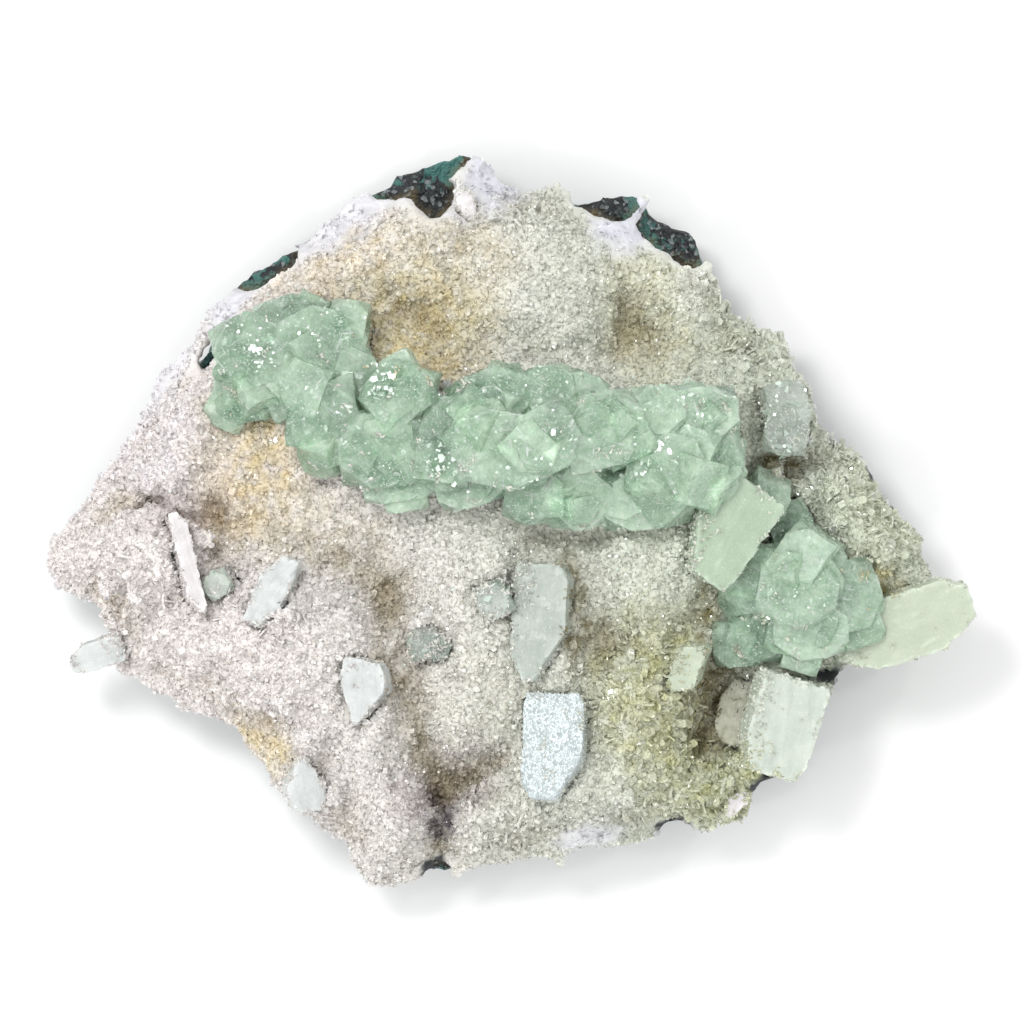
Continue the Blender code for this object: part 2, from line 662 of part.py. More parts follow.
def build_crust(sockets):
    """The heulandite crust, with its small crystals, its chips and a socket for each crystal."""
    rng = random.Random(SEED)
    crust = height_block("heulandite_crust", CRUST_CELL, crust_height, UNDERGROUND, jitter=0.7)
    druse = add_collection("druse")
    grow_druse(druse)
    combine(crust, druse, "UNION")
    above = height_block("above_the_basalt", BASALT_CELL, crust_bottom, SKY)
    combine(crust, above, "INTERSECT")
    outline = prism("crust_outline", broken(RIM, rng), UNDERGROUND, SKY)
    combine(crust, outline, "INTERSECT")
    for i, chip in enumerate(CHIPS):
        sockets.objects.link(rough_chip(f"chip_{i}", chip, rng))
    combine(crust, sockets, "DIFFERENCE")
    keep_largest_body(crust)
    for obj in [above, outline, *druse.objects]:
        bpy.data.objects.remove(obj)
    bpy.data.collections.remove(druse)
    return crust


def centre_on_foot(objects):
    """Moves everything so that the origin is the middle of the underside."""
    corners = [obj.matrix_world @ vert.co for obj in objects for vert in obj.data.vertices]
    low = Vector(min(corner[i] for corner in corners) for i in range(3))
    high = Vector(max(corner[i] for corner in corners) for i in range(3))
    shift = Vector(((low.x + high.x) / 2, (low.y + high.y) / 2, low.z))
    for obj in objects:
        obj.location -= shift


def main():
    """Builds every piece of the specimen, each clear of the ones it touches."""
    sockets = add_collection("sockets")
    blade_sockets = add_collection("blade_sockets")
    parts = {}
    for name, crystal in BLADES.items():
        parts[name] = (blade(name, crystal, SPECIMEN), "stilbite")
        socket = blade(name + "_socket", crystal.grown(GAP), sockets)
        blade_sockets.objects.link(socket)
    for name, crystals in APOPHYLLITE.items():
        cluster = grow_cluster(name, crystals, 0.0, SPECIMEN)
        combine(cluster, blade_sockets, "DIFFERENCE")
        keep_largest_body(cluster)
        clear = "clear" in name or "point" in name
        parts[name] = (cluster, "clear_apophyllite" if clear else "apophyllite")
        grow_cluster(name + "_socket", crystals, GAP, sockets)
    crust = build_crust(sockets)
    basalt = build_basalt()
    for obj, finish in ((crust, "heulandite"), (basalt, "basalt")):
        HELPERS.objects.unlink(obj)
        SPECIMEN.objects.link(obj)
        parts[obj.name] = (obj, finish)
    for obj in list(sockets.objects):
        bpy.data.objects.remove(obj)
    bpy.context.view_layer.update()
    centre_on_foot([obj for obj, _ in parts.values()])
    finishes = {name: material(name) for name in FINISHES}
    for obj, finish in parts.values():
        obj.data.materials.clear()
        obj.data.materials.append(finishes[finish])


clear_scene()
SPECIMEN = add_collection("apophyllite_on_heulandite")
HELPERS = add_collection("helpers")
main()
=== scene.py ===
"""Apophyllite on heulandite, dressed for a studio picture of its crystal face.

A belt of mint green apophyllite crosses a sugary druse of heulandite on a slab of
basalt, with blades and tablets of stilbite standing in it. Sizes are in millimetres in
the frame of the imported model, and become metres as each mesh is made.
"""

from __future__ import annotations

import json
import logging
import math
import random
from dataclasses import dataclass, field, replace
from enum import Enum
from functools import partial
from typing import Any, Callable, Iterable

import bmesh
import bpy
import numpy as np
from mathutils import Matrix, Vector, noise
from mathutils.bvhtree import BVHTree
from mathutils.kdtree import KDTree

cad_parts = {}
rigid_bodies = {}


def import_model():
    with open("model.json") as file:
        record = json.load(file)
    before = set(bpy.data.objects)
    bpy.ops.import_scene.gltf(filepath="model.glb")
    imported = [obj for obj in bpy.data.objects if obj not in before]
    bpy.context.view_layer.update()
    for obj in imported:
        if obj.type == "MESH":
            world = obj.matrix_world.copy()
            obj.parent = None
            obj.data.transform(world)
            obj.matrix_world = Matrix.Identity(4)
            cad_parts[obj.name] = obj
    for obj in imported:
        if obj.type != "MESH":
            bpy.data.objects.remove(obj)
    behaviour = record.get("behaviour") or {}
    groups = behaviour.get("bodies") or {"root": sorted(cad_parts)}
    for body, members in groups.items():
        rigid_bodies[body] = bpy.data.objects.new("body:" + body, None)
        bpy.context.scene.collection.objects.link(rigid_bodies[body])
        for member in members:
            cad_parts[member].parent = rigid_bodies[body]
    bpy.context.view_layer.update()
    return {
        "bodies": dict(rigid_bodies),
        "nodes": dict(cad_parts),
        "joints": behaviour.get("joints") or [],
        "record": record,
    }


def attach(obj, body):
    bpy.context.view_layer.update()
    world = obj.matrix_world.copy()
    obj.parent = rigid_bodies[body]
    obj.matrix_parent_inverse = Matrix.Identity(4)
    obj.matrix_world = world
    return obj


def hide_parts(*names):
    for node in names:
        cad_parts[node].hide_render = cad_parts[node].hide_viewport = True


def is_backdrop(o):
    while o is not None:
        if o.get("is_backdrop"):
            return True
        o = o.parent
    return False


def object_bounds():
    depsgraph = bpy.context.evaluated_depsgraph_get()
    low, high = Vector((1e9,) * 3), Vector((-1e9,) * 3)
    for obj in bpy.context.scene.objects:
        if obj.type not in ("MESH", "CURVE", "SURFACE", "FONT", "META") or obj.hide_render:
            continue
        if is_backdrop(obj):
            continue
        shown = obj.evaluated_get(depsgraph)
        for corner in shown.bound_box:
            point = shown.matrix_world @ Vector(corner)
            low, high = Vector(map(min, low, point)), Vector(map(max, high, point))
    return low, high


LOG = logging.getLogger("specimen")
MM = 0.001
BODY = "root"
UP = Vector((0, 0, 1))
ABOVE_ALL = 90.0
AddNode = Callable[..., bpy.types.NodeSocket]

# Direction of the key light as seen from the specimen: degrees round from +X, and down
# from straight up. A facet that leans half as far that way flashes at the camera.
KEY_ROUND = 130.0
KEY_DOWN = 26.0

# The vector noise starts from the clock unless it is given a number.
NOISE_SEED = 4

# Refraction of the zeolites and of apophyllite.
ZEOLITE_IOR = 1.5
APOPHYLLITE_IOR = 1.535


def linear(colour: str) -> tuple[float, float, float, float]:
    """Turns an sRGB hex colour, such as "#c8d0b4", to the linear values that a shader takes."""
    shares = [int(colour[i : i + 2], 16) / 255 for i in (1, 3, 5)]
    return (*(s / 12.92 if s <= 0.04045 else ((s + 0.055) / 1.055) ** 2.4 for s in shares), 1.0)


def rgb(colour: str) -> np.ndarray:
    """The linear red, green and blue of an sRGB hex colour."""
    return np.array(linear(colour)[:3])


def fill(tree: bpy.types.NodeTree, node: bpy.types.Node, inputs: dict[Any, Any]) -> None:
    """Links or sets a node's inputs.

    Args:
        tree: The tree that the node is in.
        node: The node.
        inputs: For each input, by name or number, a socket, a hex colour or a value.
    """
    for key, value in inputs.items():
        if isinstance(value, bpy.types.NodeSocket):
            tree.links.new(value, node.inputs[key])
        else:
            colour = isinstance(value, str) and value.startswith("#")
            node.inputs[key].default_value = linear(value) if colour else value


def add_node(
    tree: bpy.types.NodeTree, kind: str, inputs: dict[Any, Any], out: int | str = 0, **settings: Any
) -> bpy.types.NodeSocket:
    """Adds a node to a tree.

    Args:
        tree: The shader or geometry tree.
        kind: The node's type name.
        inputs: For each input, by name or number, a socket, a hex colour or a value.
        out: The output that is wanted.
        settings: Properties of the node itself.

    Returns:
        That output of the new node.
    """
    node = tree.nodes.new(kind)
    for name, value in settings.items():
        setattr(node, name, value)
    fill(tree, node, inputs)
    return node.outputs[out]


def at(place: bpy.types.NodeSocket, width_mm: float, **more: float) -> dict[str, Any]:
    """The inputs of a pattern that lies at a place, its grains this many millimetres wide."""
    return {"Vector": place, "Scale": 1 / (width_mm * MM), **more}


def tilted_faces(
    add: AddNode, place: bpy.types.NodeSocket, width_mm: float, slope: float
) -> bpy.types.NodeSocket:
    """The height of a field of small flat faces, each tilted its own way.

    Args:
        add: Adds a node to the material's tree.
        place: Where on the piece, in metres.
        width_mm: How wide a face is.
        slope: The rise over run of the steepest faces.

    Returns:
        The height in metres, for a bump of strength and distance 1.
    """
    cells = add("ShaderNodeTexVoronoi", at(place, width_mm), "Color")
    middle = cells.node.outputs["Position"]
    tilt = add("ShaderNodeVectorMath", {0: cells, 1: (0.5, 0.5, 0.5)}, operation="SUBTRACT")
    away = add("ShaderNodeVectorMath", {0: place, 1: middle}, operation="SUBTRACT")
    rise = add("ShaderNodeVectorMath", {0: away, 1: tilt}, "Value", operation="DOT_PRODUCT")
    return add("ShaderNodeMath", {0: rise, 1: 2 * slope}, operation="MULTIPLY")


def smooth(share: np.ndarray) -> np.ndarray:
    """An S-shaped ramp from 0 to 1, for each number."""
    share = np.clip(share, 0.0, 1.0)
    return share * share * (3 - 2 * share)


def mixed(first: np.ndarray, second: np.ndarray, share: np.ndarray) -> np.ndarray:
    """The first colour at each point where the share is 0, the second where it is 1."""
    return first * (1 - share[:, None]) + second * share[:, None]


def noise_at(
    points: np.ndarray, width: float, kind: Callable[..., Any] = noise.noise, *settings: float
) -> np.ndarray:
    """One kind of noise at each point.

    Args:
        points: The points.
        width: About how wide its waves are.
        kind: The function that gives it.
        settings: What else that function takes.

    Returns:
        A number or a vector for each point.
    """
    return np.array([kind(Vector(point) / width, *settings) for point in points])


def distance_to(tree: BVHTree, points: np.ndarray, reach: float) -> np.ndarray:
    """How far each point is from the faces of a search tree, up to a reach."""
    return np.array([tree.find_nearest(Vector(point), reach)[3] or reach for point in points])


def direction(turn: float, lean: float) -> Vector:
    """A direction, by its degrees round from +X and down from straight up."""
    turn, lean = math.radians(turn), math.radians(lean)
    return Vector((math.sin(lean) * math.cos(turn), math.sin(lean) * math.sin(turn), math.cos(lean)))


@dataclass(frozen=True)
class Patch:
    """An ellipse on the face, turned by degrees, with a colour or a strength."""

    x: float
    y: float
    half_x: float
    half_y: float
    turn: float = 0.0
    strength: float = 1.0
    colour: str = "#ffffff"

    def reach(self, x: np.ndarray, y: np.ndarray) -> np.ndarray:
        """Measures from the middle of the ellipse.

        Args:
            x: The points' places along X.
            y: The points' places along Y.

        Returns:
            0 at the middle, 1 on the edge and more beyond it.
        """
        turn = math.radians(self.turn)
        dx, dy = x - self.x, y - self.y
        along = (dx * math.cos(turn) + dy * math.sin(turn)) / self.half_x
        across = (dy * math.cos(turn) - dx * math.sin(turn)) / self.half_y
        return np.hypot(along, across)

    def weight(self, x: np.ndarray, y: np.ndarray) -> np.ndarray:
        """The patch's strength at each point, fading out round its edge."""
        return self.strength * smooth(1.5 - self.reach(x, y))


class Store(Enum):
    """What an attribute holds: its type, and the name of its value."""

    NUMBER = ("FLOAT", "value")
    VECTOR = ("FLOAT_VECTOR", "vector")
    COLOUR = ("FLOAT_COLOR", "color")


class MeshKit:
    """Small operations on meshes that every piece uses."""

    @staticmethod
    def link(name: str, mesh: bpy.types.Mesh) -> bpy.types.Object:
        """Puts a mesh in the scene as an object at the origin."""
        obj = bpy.data.objects.new(name, mesh)
        bpy.context.scene.collection.objects.link(obj)
        return obj

    @staticmethod
    def add(name: str, bm: bmesh.types.BMesh, scale: float = MM) -> bpy.types.Object:
        """Makes an object of a bmesh.

        Args:
            name: The object's name.
            bm: Its faces, which are used up.
            scale: What turns its lengths to metres.

        Returns:
            The object, at the origin.
        """
        bmesh.ops.scale(bm, vec=(scale, scale, scale), verts=bm.verts)
        mesh = bpy.data.meshes.new(name)
        bm.to_mesh(mesh)
        bm.free()
        return MeshKit.link(name, mesh)

    @staticmethod
    def copy_node(node: bpy.types.Object, name: str, flat: bool = False) -> bpy.types.Object:
        """Copies a node's mesh with its loose triangles merged.

        Args:
            node: The node.
            name: The copy's name.
            flat: Whether triangles in one plane become one face.

        Returns:
            The copy.
        """
        bm = bmesh.new()
        bm.from_mesh(node.data)
        bmesh.ops.remove_doubles(bm, verts=bm.verts, dist=0.002 * MM)
        if flat:
            bmesh.ops.dissolve_limit(bm, angle_limit=math.radians(1.0), verts=bm.verts, edges=bm.edges)
        return MeshKit.add(name, bm, 1.0)

    @staticmethod
    def evaluated(obj: bpy.types.Object) -> bpy.types.Mesh:
        """What an object's modifiers make of its mesh."""
        bpy.context.view_layer.update()
        return bpy.data.meshes.new_from_object(obj.evaluated_get(bpy.context.evaluated_depsgraph_get()))

    @staticmethod
    def remesh(obj: bpy.types.Object, voxel: float) -> None:
        """Rebuilds an object of even faces.

        Args:
            obj: The object.
            voxel: How wide a face is.
        """
        modifier = obj.modifiers.new("Remesh", "REMESH")
        modifier.mode = "VOXEL"
        modifier.voxel_size = voxel * MM
        mesh = MeshKit.evaluated(obj)
        obj.modifiers.clear()
        obj.data = mesh

    @staticmethod
    def split(obj: bpy.types.Object, longest: float, rounds: int = 6) -> None:
        """Divides an object's faces until no edge is too long.

        Args:
            obj: The object.
            longest: The longest edge that may stay.
            rounds: How often edges are halved at most.
        """
        bm = bmesh.new()
        bm.from_mesh(obj.data)
        bmesh.ops.triangulate(bm, faces=bm.faces)
        for _ in range(rounds):
            long_edges = [edge for edge in bm.edges if edge.calc_length() > longest * MM]
            if not long_edges:
                break
            bmesh.ops.subdivide_edges(bm, edges=long_edges, cuts=1)
            bmesh.ops.triangulate(bm, faces=bm.faces)
        bm.to_mesh(obj.data)
        bm.free()

    @staticmethod
    def sharp_edges(obj: bpy.types.Object, least_degrees: float = 14, step: float = 0.6) -> KDTree:
        """Finds points along an object's sharp edges, in millimetres.

        Args:
            obj: The object.
            least_degrees: How far the two faces beside an edge turn.
            step: How far apart the points are.

        Returns:
            The points, ready to search.
        """
        bm = bmesh.new()
        bm.from_mesh(obj.data)
        found: list[Vector] = []
        for edge in bm.edges:
            if len(edge.link_faces) != 2 or edge.calc_face_angle(0.0) < math.radians(least_degrees):
                continue
            start, end = (vert.co / MM for vert in edge.verts)
            count = max(1, round((end - start).length / step))
            found.extend(start.lerp(end, i / count) for i in range(count + 1))
        bm.free()
        tree = KDTree(max(1, len(found)))
        for index, point in enumerate(found):
            tree.insert(point, index)
        tree.balance()
        return tree

    @staticmethod
    def refine(obj: bpy.types.Object, fineness: float, edge_width: float) -> np.ndarray:
        """Divides an object finely and stores how close its points are to its sharp edges.

        Args:
            obj: The object.
            fineness: The longest edge that a face keeps.
            edge_width: How far an edge's tone spreads.

        Returns:
            For each point, 1 on a sharp edge and 0 beyond the width.
        """
        corners = MeshKit.sharp_edges(obj)
        MeshKit.split(obj, fineness)
        away = np.array([corners.find(Vector(point))[2] for point in MeshKit.points(obj)])
        near = smooth(1 - away / edge_width)
        MeshKit.store(obj, "edge", near)
        return near

    @staticmethod
    def shatter(obj: bpy.types.Object, cells: tuple[float, float, float], rise: float, tilt: float) -> None:
        """Breaks a surface up into flat growth steps, each at its own height and slope.

        Args:
            obj: The object, its faces already smaller than the steps.
            cells: The steps' sizes along X, Y and Z.
            rise: How much their heights differ.
            tilt: How much their slopes differ, in degrees.
        """
        points = MeshKit.points(obj)
        scale = np.array(cells)
        slope = math.tan(math.radians(tilt))
        push = np.zeros(len(points))
        for index, point in enumerate(points / scale):
            centre = noise.voronoi(Vector(point))[1][0]
            chance = noise.noise_vector(centre * 5.7)
            away = Vector((Vector(point) - centre) * Vector(scale))
            push[index] = rise * noise.noise(centre * 3.1) + slope * away.dot(chance)
        MeshKit.swell(obj, push)

    @staticmethod
    def points(obj: bpy.types.Object, what: str = "co", unit: float = MM) -> np.ndarray:
        """The object's points in millimetres, or another value of theirs in another unit."""
        found = np.empty(len(obj.data.vertices) * 3, np.float32)
        obj.data.vertices.foreach_get(what, found)
        return found.reshape(-1, 3) / unit

    @staticmethod
    def normals(obj: bpy.types.Object) -> np.ndarray:
        """The direction that the surface faces at each point."""
        return MeshKit.points(obj, "normal", 1)

    @staticmethod
    def move_points(obj: bpy.types.Object, points: np.ndarray) -> None:
        """Sets the object's points, in millimetres."""
        obj.data.vertices.foreach_set("co", (points * MM).astype(np.float32).ravel())
        obj.data.update()

    @staticmethod
    def swell(obj: bpy.types.Object, push: np.ndarray) -> None:
        """Moves each point of an object this many millimetres outwards."""
        MeshKit.move_points(obj, MeshKit.points(obj) + MeshKit.normals(obj) * push[:, None])

    @staticmethod
    def store(
        obj: bpy.types.Object,
        name: str,
        values: np.ndarray,
        kind: Store = Store.NUMBER,
        domain: str = "POINT",
    ) -> None:
        """Stores a value a point, or a face, as an attribute.

        Args:
            obj: The object.
            name: The attribute's name.
            values: The values, a colour without its alpha.
            kind: What they are.
            domain: What they belong to.
        """
        if kind is Store.COLOUR:
            values = np.column_stack((values, np.ones(len(values))))
        made = obj.data.attributes.new(name, kind.value[0], domain)
        made.data.foreach_set(kind.value[1], values.astype(np.float32).ravel())

    @staticmethod
    def dress(obj: bpy.types.Object, finish: bpy.types.Material) -> None:
        """Gives an object one material."""
        obj.data.materials.clear()
        obj.data.materials.append(finish)

    @staticmethod
    def tree_of(objects: Iterable[bpy.types.Object]) -> BVHTree:
        """Gathers several objects' faces, in millimetres.

        Args:
            objects: The objects.

        Returns:
            One search tree over all of them.
        """
        points: list[Vector] = []
        faces: list[tuple[int, ...]] = []
        for obj in objects:
            start = len(points)
            points.extend(vert.co / MM for vert in obj.data.vertices)
            faces.extend(tuple(start + i for i in face.vertices) for face in obj.data.polygons)
        return BVHTree.FromPolygons(points, faces)

    @staticmethod
    def cut_block(
        sizes: tuple[float, float, float], planes: list[tuple[Vector, float]]
    ) -> bmesh.types.BMesh:
        """Makes a block with corners cut off.

        Args:
            sizes: The block's three sides, centred on the origin.
            planes: For each cut, the way it faces and how far it is from the origin.

        Returns:
            The closed shape.
        """
        bm = bmesh.new()
        bmesh.ops.create_cube(bm, size=1.0, matrix=Matrix.Diagonal((*sizes, 1.0)))
        for facing, distance in planes:
            normal = Vector(facing).normalized()
            everything = bm.verts[:] + bm.edges[:] + bm.faces[:]
            cut = bmesh.ops.bisect_plane(
                bm, geom=everything, plane_co=normal * distance, plane_no=normal, clear_outer=True
            )
            edges = [item for item in cut["geom_cut"] if isinstance(item, bmesh.types.BMEdge)]
            if edges:
                bmesh.ops.edgeloop_fill(bm, edges=edges)
        bmesh.ops.recalc_face_normals(bm, faces=bm.faces)
        return bm


@dataclass(frozen=True)
class Finish:
    """What every finish shares: a name, and how its material is put together."""

    name: str

    def inputs(self, add: AddNode) -> dict[str, Any]:
        """Says what the shader is given.

        Args:
            add: Adds a node to the material's tree.

        Returns:
            A value, a hex colour or a socket for each input.
        """
        raise NotImplementedError

    def make(self) -> bpy.types.Material:
        """Builds the material.

        Returns:
            The material, named for the finish.
        """
        made = bpy.data.materials.new(self.name)
        made.use_nodes = True
        shader = made.node_tree.nodes["Principled BSDF"]
        shader.subsurface_method = "BURLEY"
        fill(made.node_tree, shader, self.inputs(partial(add_node, made.node_tree)))
        return made


@dataclass(frozen=True)
class CrustFinish(Finish):
    """Massive heulandite under and between the crystals: pale, dull and sugary."""

    patch_mm: float = 4.0
    grain_mm: float = 1.1

    def inputs(self, add: AddNode) -> dict[str, Any]:
        """The painted tint, darker in patches, with a bump of fine grains.

        Args:
            add: Adds a node to the material's tree.

        Returns:
            The shader's inputs.
        """
        place = add("ShaderNodeTexCoord", {}, "Object")
        tint = add("ShaderNodeAttribute", {}, "Color", attribute_name="tint")
        patches = add("ShaderNodeTexNoise", at(place, self.patch_mm, Detail=5.0), "Fac")
        value = add("ShaderNodeMapRange", {0: patches, 1: 0.3, 2: 0.7, 3: 0.76, 4: 1.0})
        grains = add("ShaderNodeTexVoronoi", at(place, self.grain_mm), "Distance")
        sugar = {"Height": grains, "Strength": 0.6, "Distance": 0.0004}
        return {
            "Base Color": add("ShaderNodeHueSaturation", {"Value": value, "Color": tint}, "Color"),
            "Normal": add("ShaderNodeBump", sugar, "Normal"),
            "Roughness": 0.7,
            "IOR": ZEOLITE_IOR,
        }


@dataclass(frozen=True)
class DruseFinish(Finish):
    """Small heulandite crystals: glassy, near colourless over the stained crust.

    Their tips are too fine for meshes, so a pattern of points gives each grain a few.
    """

    tip_mm: float = 0.45
    tip_slope: float = 0.5
    darkest: float = 0.62
    brightest: float = 1.18

    def inputs(self, add: AddNode) -> dict[str, Any]:
        """The crust's tint, a tone brighter or darker for each crystal and each tip.

        Args:
            add: Adds a node to the material's tree.

        Returns:
            The shader's inputs.
        """
        place = add("ShaderNodeTexCoord", {}, "Object")
        tint = add("ShaderNodeAttribute", {}, "Color", attribute_name="tint")
        tone = add("ShaderNodeAttribute", {}, "Fac", attribute_name="tone")
        tips = add("ShaderNodeTexVoronoi", at(place, self.tip_mm), "Color")
        chance = add("ShaderNodeSeparateColor", {0: tips})
        both = add("ShaderNodeMath", {0: chance, 1: tone}, operation="ADD")
        value = add("ShaderNodeMapRange", {0: both, 2: 2.0, 3: self.darkest, 4: self.brightest})
        faces = tilted_faces(add, place, self.tip_mm, self.tip_slope)
        return {
            "Base Color": add("ShaderNodeHueSaturation", {"Value": value, "Color": tint}, "Color"),
            "Normal": add("ShaderNodeBump", {"Height": faces, "Strength": 1.0, "Distance": 1.0}, "Normal"),
            "Roughness": 0.14,
            "IOR": ZEOLITE_IOR,
        }


@dataclass(frozen=True)
class ApophylliteFinish(Finish):
    """Apophyllite: mint green glass, a little milky, with pale cracks and veils in it."""

    pale: str = "#d7eed3"
    deep: str = "#b4debb"
    # Tone along the sharp edges; paler than the body here, it is a painted highlight.
    edge: str = "#def3de"
    crack: str = "#f4fbf4"
    clearest: float = 0.8
    milkiest: float = 0.35
    milk: float = 0.75
    buried: float = 0.45
    wrinkle_mm: float = 0.9
    wrinkle_slope: float = 0.5
    cloud_mm: float = 6.0
    cell_mm: float = 4.5
    streak_mm: float = 0.6
    ice_mm: float = 0.45

    def body(self, add: AddNode, share: bpy.types.NodeSocket) -> bpy.types.NodeSocket:
        """Colours the glass: cloudy, toned along the edges (paler there as a painted highlight in the mint
        green), and stained at the foot.

        Args:
            add: Adds a node to the material's tree.
            share: How cloudy it is.

        Returns:
            The colour.
        """
        edges = add("ShaderNodeAttribute", {}, "Fac", attribute_name="edge")
        ground = add("ShaderNodeAttribute", {}, "Color", attribute_name="ground")
        foot = add("ShaderNodeAttribute", {}, "Fac", attribute_name="foot")
        body = add("ShaderNodeMix", {0: share, 6: self.deep, 7: self.pale}, 2, data_type="RGBA")
        # Painted highlight along the sharp edges, where the edge tone is paler than the body.
        near = add("ShaderNodeMapRange", {0: edges, 4: 0.4})
        edged = add("ShaderNodeMix", {0: near, 6: body, 7: self.edge}, 2, data_type="RGBA")
        sunk = add("ShaderNodeMath", {0: foot, 1: self.buried}, operation="MULTIPLY")
        return add("ShaderNodeMix", {0: sunk, 6: edged, 7: ground}, 2, data_type="RGBA")

    def cracks(self, add: AddNode, place: bpy.types.NodeSocket) -> bpy.types.NodeSocket:
        """Streaks that lie one way in each cell, as cleavage does in each crystal.

        Args:
            add: Adds a node to the material's tree.
            place: Where on the piece, in metres.

        Returns:
            How much of a crack there is.
        """
        cells = add("ShaderNodeTexVoronoi", at(place, self.cell_mm), "Color")
        chance = add("ShaderNodeSeparateColor", {0: cells})
        turn = add("ShaderNodeMath", {0: chance, 1: math.tau}, operation="MULTIPLY")
        turned = add("ShaderNodeVectorRotate", {"Vector": place, "Angle": turn}, rotation_type="Z_AXIS")
        lain = add("ShaderNodeMapping", {"Vector": turned, "Scale": (1.0, 0.14, 0.5)})
        streak = add("ShaderNodeTexNoise", at(lain, self.streak_mm, Detail=4.0, Distortion=0.5), "Fac")
        lines = add("ShaderNodeMapRange", {0: streak, 1: 0.56, 2: 0.68})
        other = chance.node.outputs[1]
        strength = add("ShaderNodeMapRange", {0: other, 1: 0.2, 2: 1.0, 3: 0.2, 4: 0.9})
        return add("ShaderNodeMath", {0: lines, 1: strength}, operation="MULTIPLY")

    def inputs(self, add: AddNode) -> dict[str, Any]:
        """Clouds, toned edges that are a painted highlight where paler, pale cleavage cracks and fine ice
        over clear glass.

        Args:
            add: Adds a node to the material's tree.

        Returns:
            The shader's inputs.
        """
        place = add("ShaderNodeTexCoord", {}, "Object")
        facet = add("ShaderNodeAttribute", {}, "Fac", attribute_name="facet")
        clouds = add("ShaderNodeTexNoise", at(place, self.cloud_mm, Detail=7.0, Roughness=0.62), "Fac")
        both = add("ShaderNodeMath", {0: facet, 1: 0.3, 2: clouds}, operation="MULTIPLY_ADD")
        share = add("ShaderNodeMapRange", {0: both, 1: 0.4, 2: 0.9})
        ice = add("ShaderNodeTexNoise", at(place, self.ice_mm, Detail=3.0), "Fac")
        specks = add("ShaderNodeMapRange", {0: ice, 1: 0.54, 2: 0.68, 3: 0.0, 4: 0.75})
        marks = add("ShaderNodeMath", {0: self.cracks(add, place), 1: specks}, operation="MAXIMUM")
        calm = add("ShaderNodeMapRange", {0: clouds, 1: 0.4, 2: 0.6, 3: 0.3})
        wrinkles = tilted_faces(add, place, self.wrinkle_mm, self.wrinkle_slope)
        wrinkled = add("ShaderNodeMath", {0: wrinkles, 1: calm}, operation="MULTIPLY")
        faces = add("ShaderNodeBump", {"Height": wrinkled, "Strength": 1.0, "Distance": 1.0}, "Normal")
        frost = {"Height": ice, "Strength": 0.25, "Distance": 0.0003, "Normal": faces}
        milky = add("ShaderNodeMath", {0: share, 1: marks}, operation="MAXIMUM")
        glass = {0: marks, 6: self.body(add, share), 7: self.crack}
        return {
            "Base Color": add("ShaderNodeMix", glass, 2, data_type="RGBA"),
            "Normal": add("ShaderNodeBump", frost, "Normal"),
            "Transmission Weight": add("ShaderNodeMapRange", {0: milky, 3: self.clearest, 4: self.milkiest}),
            "Roughness": 0.06,
            "IOR": APOPHYLLITE_IOR,
            "Subsurface Weight": self.milk,
            "Subsurface Radius": (1.0, 1.0, 1.0),
            "Subsurface Scale": 0.003,
        }


@dataclass(frozen=True)
class StilbiteFinish(Finish):
    """Stilbite: pearly white, striped finely along the blade, lightly frosted, with a painted highlight
    along its edges.
    """

    pale: str = "#f4f0f0"
    deep: str = "#dcd6d4"
    # Pale tone of the frost crystals, and of the painted highlight along the sharp edges.
    rim: str = "#fdfaf8"
    roughness: float = 0.3
    transmission: float = 0.2
    relief: float = 0.35
    milk: float = 0.7
    frost_mm: float = 0.4

    def inputs(self, add: AddNode) -> dict[str, Any]:
        """Stripes that lie along each blade, clouds, a frost of fine crystals, and a painted highlight along
        the edges.

        Args:
            add: Adds a node to the material's tree.

        Returns:
            The shader's inputs.
        """
        lie = add("ShaderNodeAttribute", {}, "Vector", attribute_name="lie")
        edges = add("ShaderNodeAttribute", {}, "Fac", attribute_name="edge")
        drawn = add("ShaderNodeMapping", {"Vector": lie, "Scale": (1.6, 0.16, 1.6)})
        stripes = add(
            "ShaderNodeTexNoise", {"Vector": drawn, "Scale": 1.0, "Detail": 5.0, "Roughness": 0.6}, "Fac"
        )
        clouds = add("ShaderNodeTexNoise", {"Vector": lie, "Scale": 0.22, "Detail": 4.0}, "Fac")
        both = add("ShaderNodeMath", {0: stripes, 1: 0.6, 2: clouds}, operation="MULTIPLY_ADD")
        share = add("ShaderNodeMapRange", {0: both, 1: 0.55, 2: 1.0})
        body = add("ShaderNodeMix", {0: share, 6: self.deep, 7: self.pale}, 2, data_type="RGBA")
        frost = add("ShaderNodeTexNoise", {"Vector": lie, "Scale": 1 / self.frost_mm, "Detail": 3.0}, "Fac")
        crystals = add("ShaderNodeMapRange", {0: frost, 1: 0.56, 2: 0.7, 4: 0.6})
        # Painted highlight: the rim tone laid along the sharp edges.
        near = add("ShaderNodeMapRange", {0: edges, 4: 0.5})
        bright = add("ShaderNodeMath", {0: near, 1: crystals}, operation="MAXIMUM")
        height = add("ShaderNodeMath", {0: frost, 1: 0.4, 2: stripes}, operation="MULTIPLY_ADD")
        grooves = {"Height": height, "Strength": self.relief, "Distance": 0.0004}
        return {
            "Base Color": add("ShaderNodeMix", {0: bright, 6: body, 7: self.rim}, 2, data_type="RGBA"),
            "Normal": add("ShaderNodeBump", grooves, "Normal"),
            "Roughness": self.roughness,
            "IOR": ZEOLITE_IOR,
            "Transmission Weight": self.transmission,
            "Subsurface Weight": self.milk,
            "Subsurface Radius": (1.0, 1.0, 1.0),
            "Subsurface Scale": 0.002,
        }


